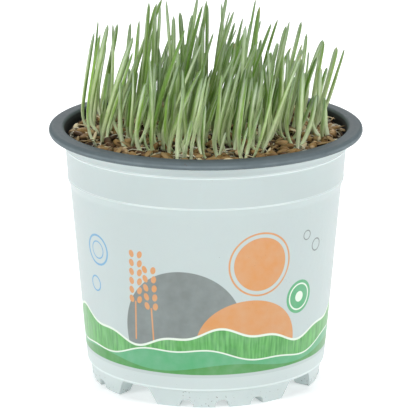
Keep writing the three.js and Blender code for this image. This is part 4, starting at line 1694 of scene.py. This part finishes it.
# %% Leaf finish
def make_leaf_finish():
    material, tree, shader = new_material("wheat_leaf")
    tone = stored(tree, "tone")
    along = stored(tree, "along")
    turn = calc(tree, "MULTIPLY", stored(tree, "around"), 2 * math.pi)
    across = calc(tree, "COSINE", turn)
    face = calc(tree, "SINE", turn)
    cloud = grain(tree, 180.0, (1.0, 1.0, 0.3))
    fresh = mix(tree, tone, paint(104, 148, 38), paint(140, 174, 74))
    vivid = calc(tree, "FRACT", calc(tree, "MULTIPLY", tone, 7.0))
    vivid = ramp(tree, vivid, 5.0, -3.6)
    fresh = tinted(tree, fresh, vivid, 0.7, paint(138, 186, 48))
    # Painted highlight: a pale streak along each blade, where the shoot's tone puts it.
    other = calc(tree, "FRACT", calc(tree, "MULTIPLY", tone, 17.0))
    streak = calc(tree, "SUBTRACT", across, calc(tree, "MULTIPLY_ADD", other, 1.3, -0.65))
    streak = calc(tree, "MULTIPLY", calc(tree, "ABSOLUTE", streak), 0.95)
    streak = calc(tree, "SUBTRACT", 1.0, streak, clamp=True)
    bloom_and_highlight = calc(tree, "MULTIPLY_ADD", cloud, 1.2, -0.57)
    bloom_and_highlight = calc(tree, "MULTIPLY_ADD", streak, 0.95, bloom_and_highlight)
    bloom_and_highlight = ramp(tree, face, 0.12, bloom_and_highlight)
    # Low down among crowded blades: deeper green and less bloom, partly leaf colour and partly painted shade.
    crowd = calc(tree, "MULTIPLY", stored(tree, "crowd"), calc(tree, "MULTIPLY_ADD", along, -0.75, 1.0))
    fresh = tinted(tree, fresh, crowd, 0.9, paint(86, 134, 30))
    bloom_and_highlight = calc(tree, "MULTIPLY", bloom_and_highlight, ramp(tree, crowd, -0.95, 1.15))
    # This pale colour shows both the wax bloom and the painted highlight.
    wax_and_highlight = mix(tree, along, paint(214, 230, 150), paint(224, 240, 216))
    color = mix(tree, bloom_and_highlight, fresh, wax_and_highlight)
    deep = ramp(tree, along, 2.6, -1.8)
    color = tinted(tree, color, deep, 0.65, paint(100, 128, 84))
    edge = ramp(tree, calc(tree, "ABSOLUTE", across), 3.0, -2.2)
    color = tinted(tree, color, edge, 0.3, paint(120, 158, 80))
    pale = ramp(tree, stored(tree, "pale"), 1.1, -0.08)
    color = mix(tree, pale, color, paint(232, 246, 204))
    dry = ramp(tree, tone, 14.0, -13.0)
    tip = calc(tree, "MULTIPLY", dry, ramp(tree, along, 14.0, -12.9))
    color = mix(tree, tip, color, paint(178, 172, 110))
    dress(tree, shader, {"Base Color": color, "Roughness": spread(tree, cloud, 0.3, 0.5)})
    veins = calc(tree, "SINE", calc(tree, "MULTIPLY", across, 26.0))
    height = calc(tree, "MULTIPLY_ADD", veins, 0.5, grain(tree, 1500.0, (1.0, 1.0, 0.15)))
    bump(tree, shader, height, 0.00012, 0.6)
    dress(tree, shader, {"Subsurface Weight": 0.1, "Subsurface Scale": 0.0012})
    dress(tree, shader, {"Subsurface Radius": (0.6, 1.0, 0.4), "Specular IOR Level": 0.6})
    dress(tree, shader, {"Sheen Weight": 0.06, "Sheen Roughness": 0.5})
    return material


LEAF = make_leaf_finish()
print("leaf finish:", len(LEAF.node_tree.nodes), "nodes")

# %% Tufts
LEAF_MERGE = 0.000002


def face_outwards(mesh):
    """Joins the points that meet, and turns every face outwards."""
    bm = bmesh.new()
    bm.from_mesh(mesh)
    bmesh.ops.remove_doubles(bm, verts=bm.verts, dist=LEAF_MERGE)
    bmesh.ops.recalc_face_normals(bm, faces=bm.faces)
    bm.to_mesh(mesh)
    bm.free()
    mesh.shade_smooth()


faces = 0
settings = {"Section Points": SECTION_POINTS, "Width": 1.0, "Finish": LEAF}
for number, tuft in enumerate(tufts, start=1):
    label = f"wheat_tuft_{number:02d}"
    piece = grown(label, tuft_source(label, tuft), LEAVES, settings)
    face_outwards(piece.data)
    add_piece(label, piece.data, "grass", f"grass_tuft_{number:02d}")
    faces += len(piece.data.polygons)
print("tufts made:", len(tufts), "faces:", faces)

# %% [markdown]
# The floor is plain and pale. It isn't part of the object, so it is marked as stage. It is a wide
# plane with a soft matt finish. Like a light table it gives off a little light of its own, so it
# stays nearly white and takes only a faint shadow under the foot.

# %% Floor
FLOOR_HALF = 4
FLOOR_TONES = ((0.93, 0.94, 0.95, 1), (0.96, 0.97, 0.97, 1))
FLOOR_GLOW = 0.35


def make_floor():
    bm = bmesh.new()
    bmesh.ops.create_grid(bm, x_segments=1, y_segments=1, size=FLOOR_HALF)
    mesh = plain_mesh("floor", bm)
    material, tree, shader = new_material("studio_floor")
    dress(tree, shader, {"Base Color": mix(tree, grain(tree, 6.0), *FLOOR_TONES), "Roughness": 0.85})
    dress(tree, shader, {"Emission Color": (1, 1, 1, 1), "Emission Strength": FLOOR_GLOW})
    mesh.materials.append(material)
    floor = bpy.data.objects.new("floor", mesh)
    bpy.context.scene.collection.objects.link(floor)
    floor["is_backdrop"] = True


make_floor()
print("floor laid")

# %% [markdown]
# The last step prints sizes: three tufts beside their packed parts, and the packed box beside the finished
# one.

# %% Sizes and finish
for name in ("wheat_tuft_01", "wheat_tuft_20", "wheat_tuft_52"):
    piece = bpy.data.objects[name]
    corners = np.array([v.co for v in piece.data.vertices])
    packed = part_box(name.replace("wheat", "grass"))
    print(name, "low", corners.min(0).round(4), "high", corners.max(0).round(4), "packed", packed)
final_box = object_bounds()
sizes = {"cad": [list(corner) for corner in cad_box], "visual": [list(corner) for corner in final_box]}
print("packed box:", sizes["cad"])
print("finished box:", sizes["visual"])
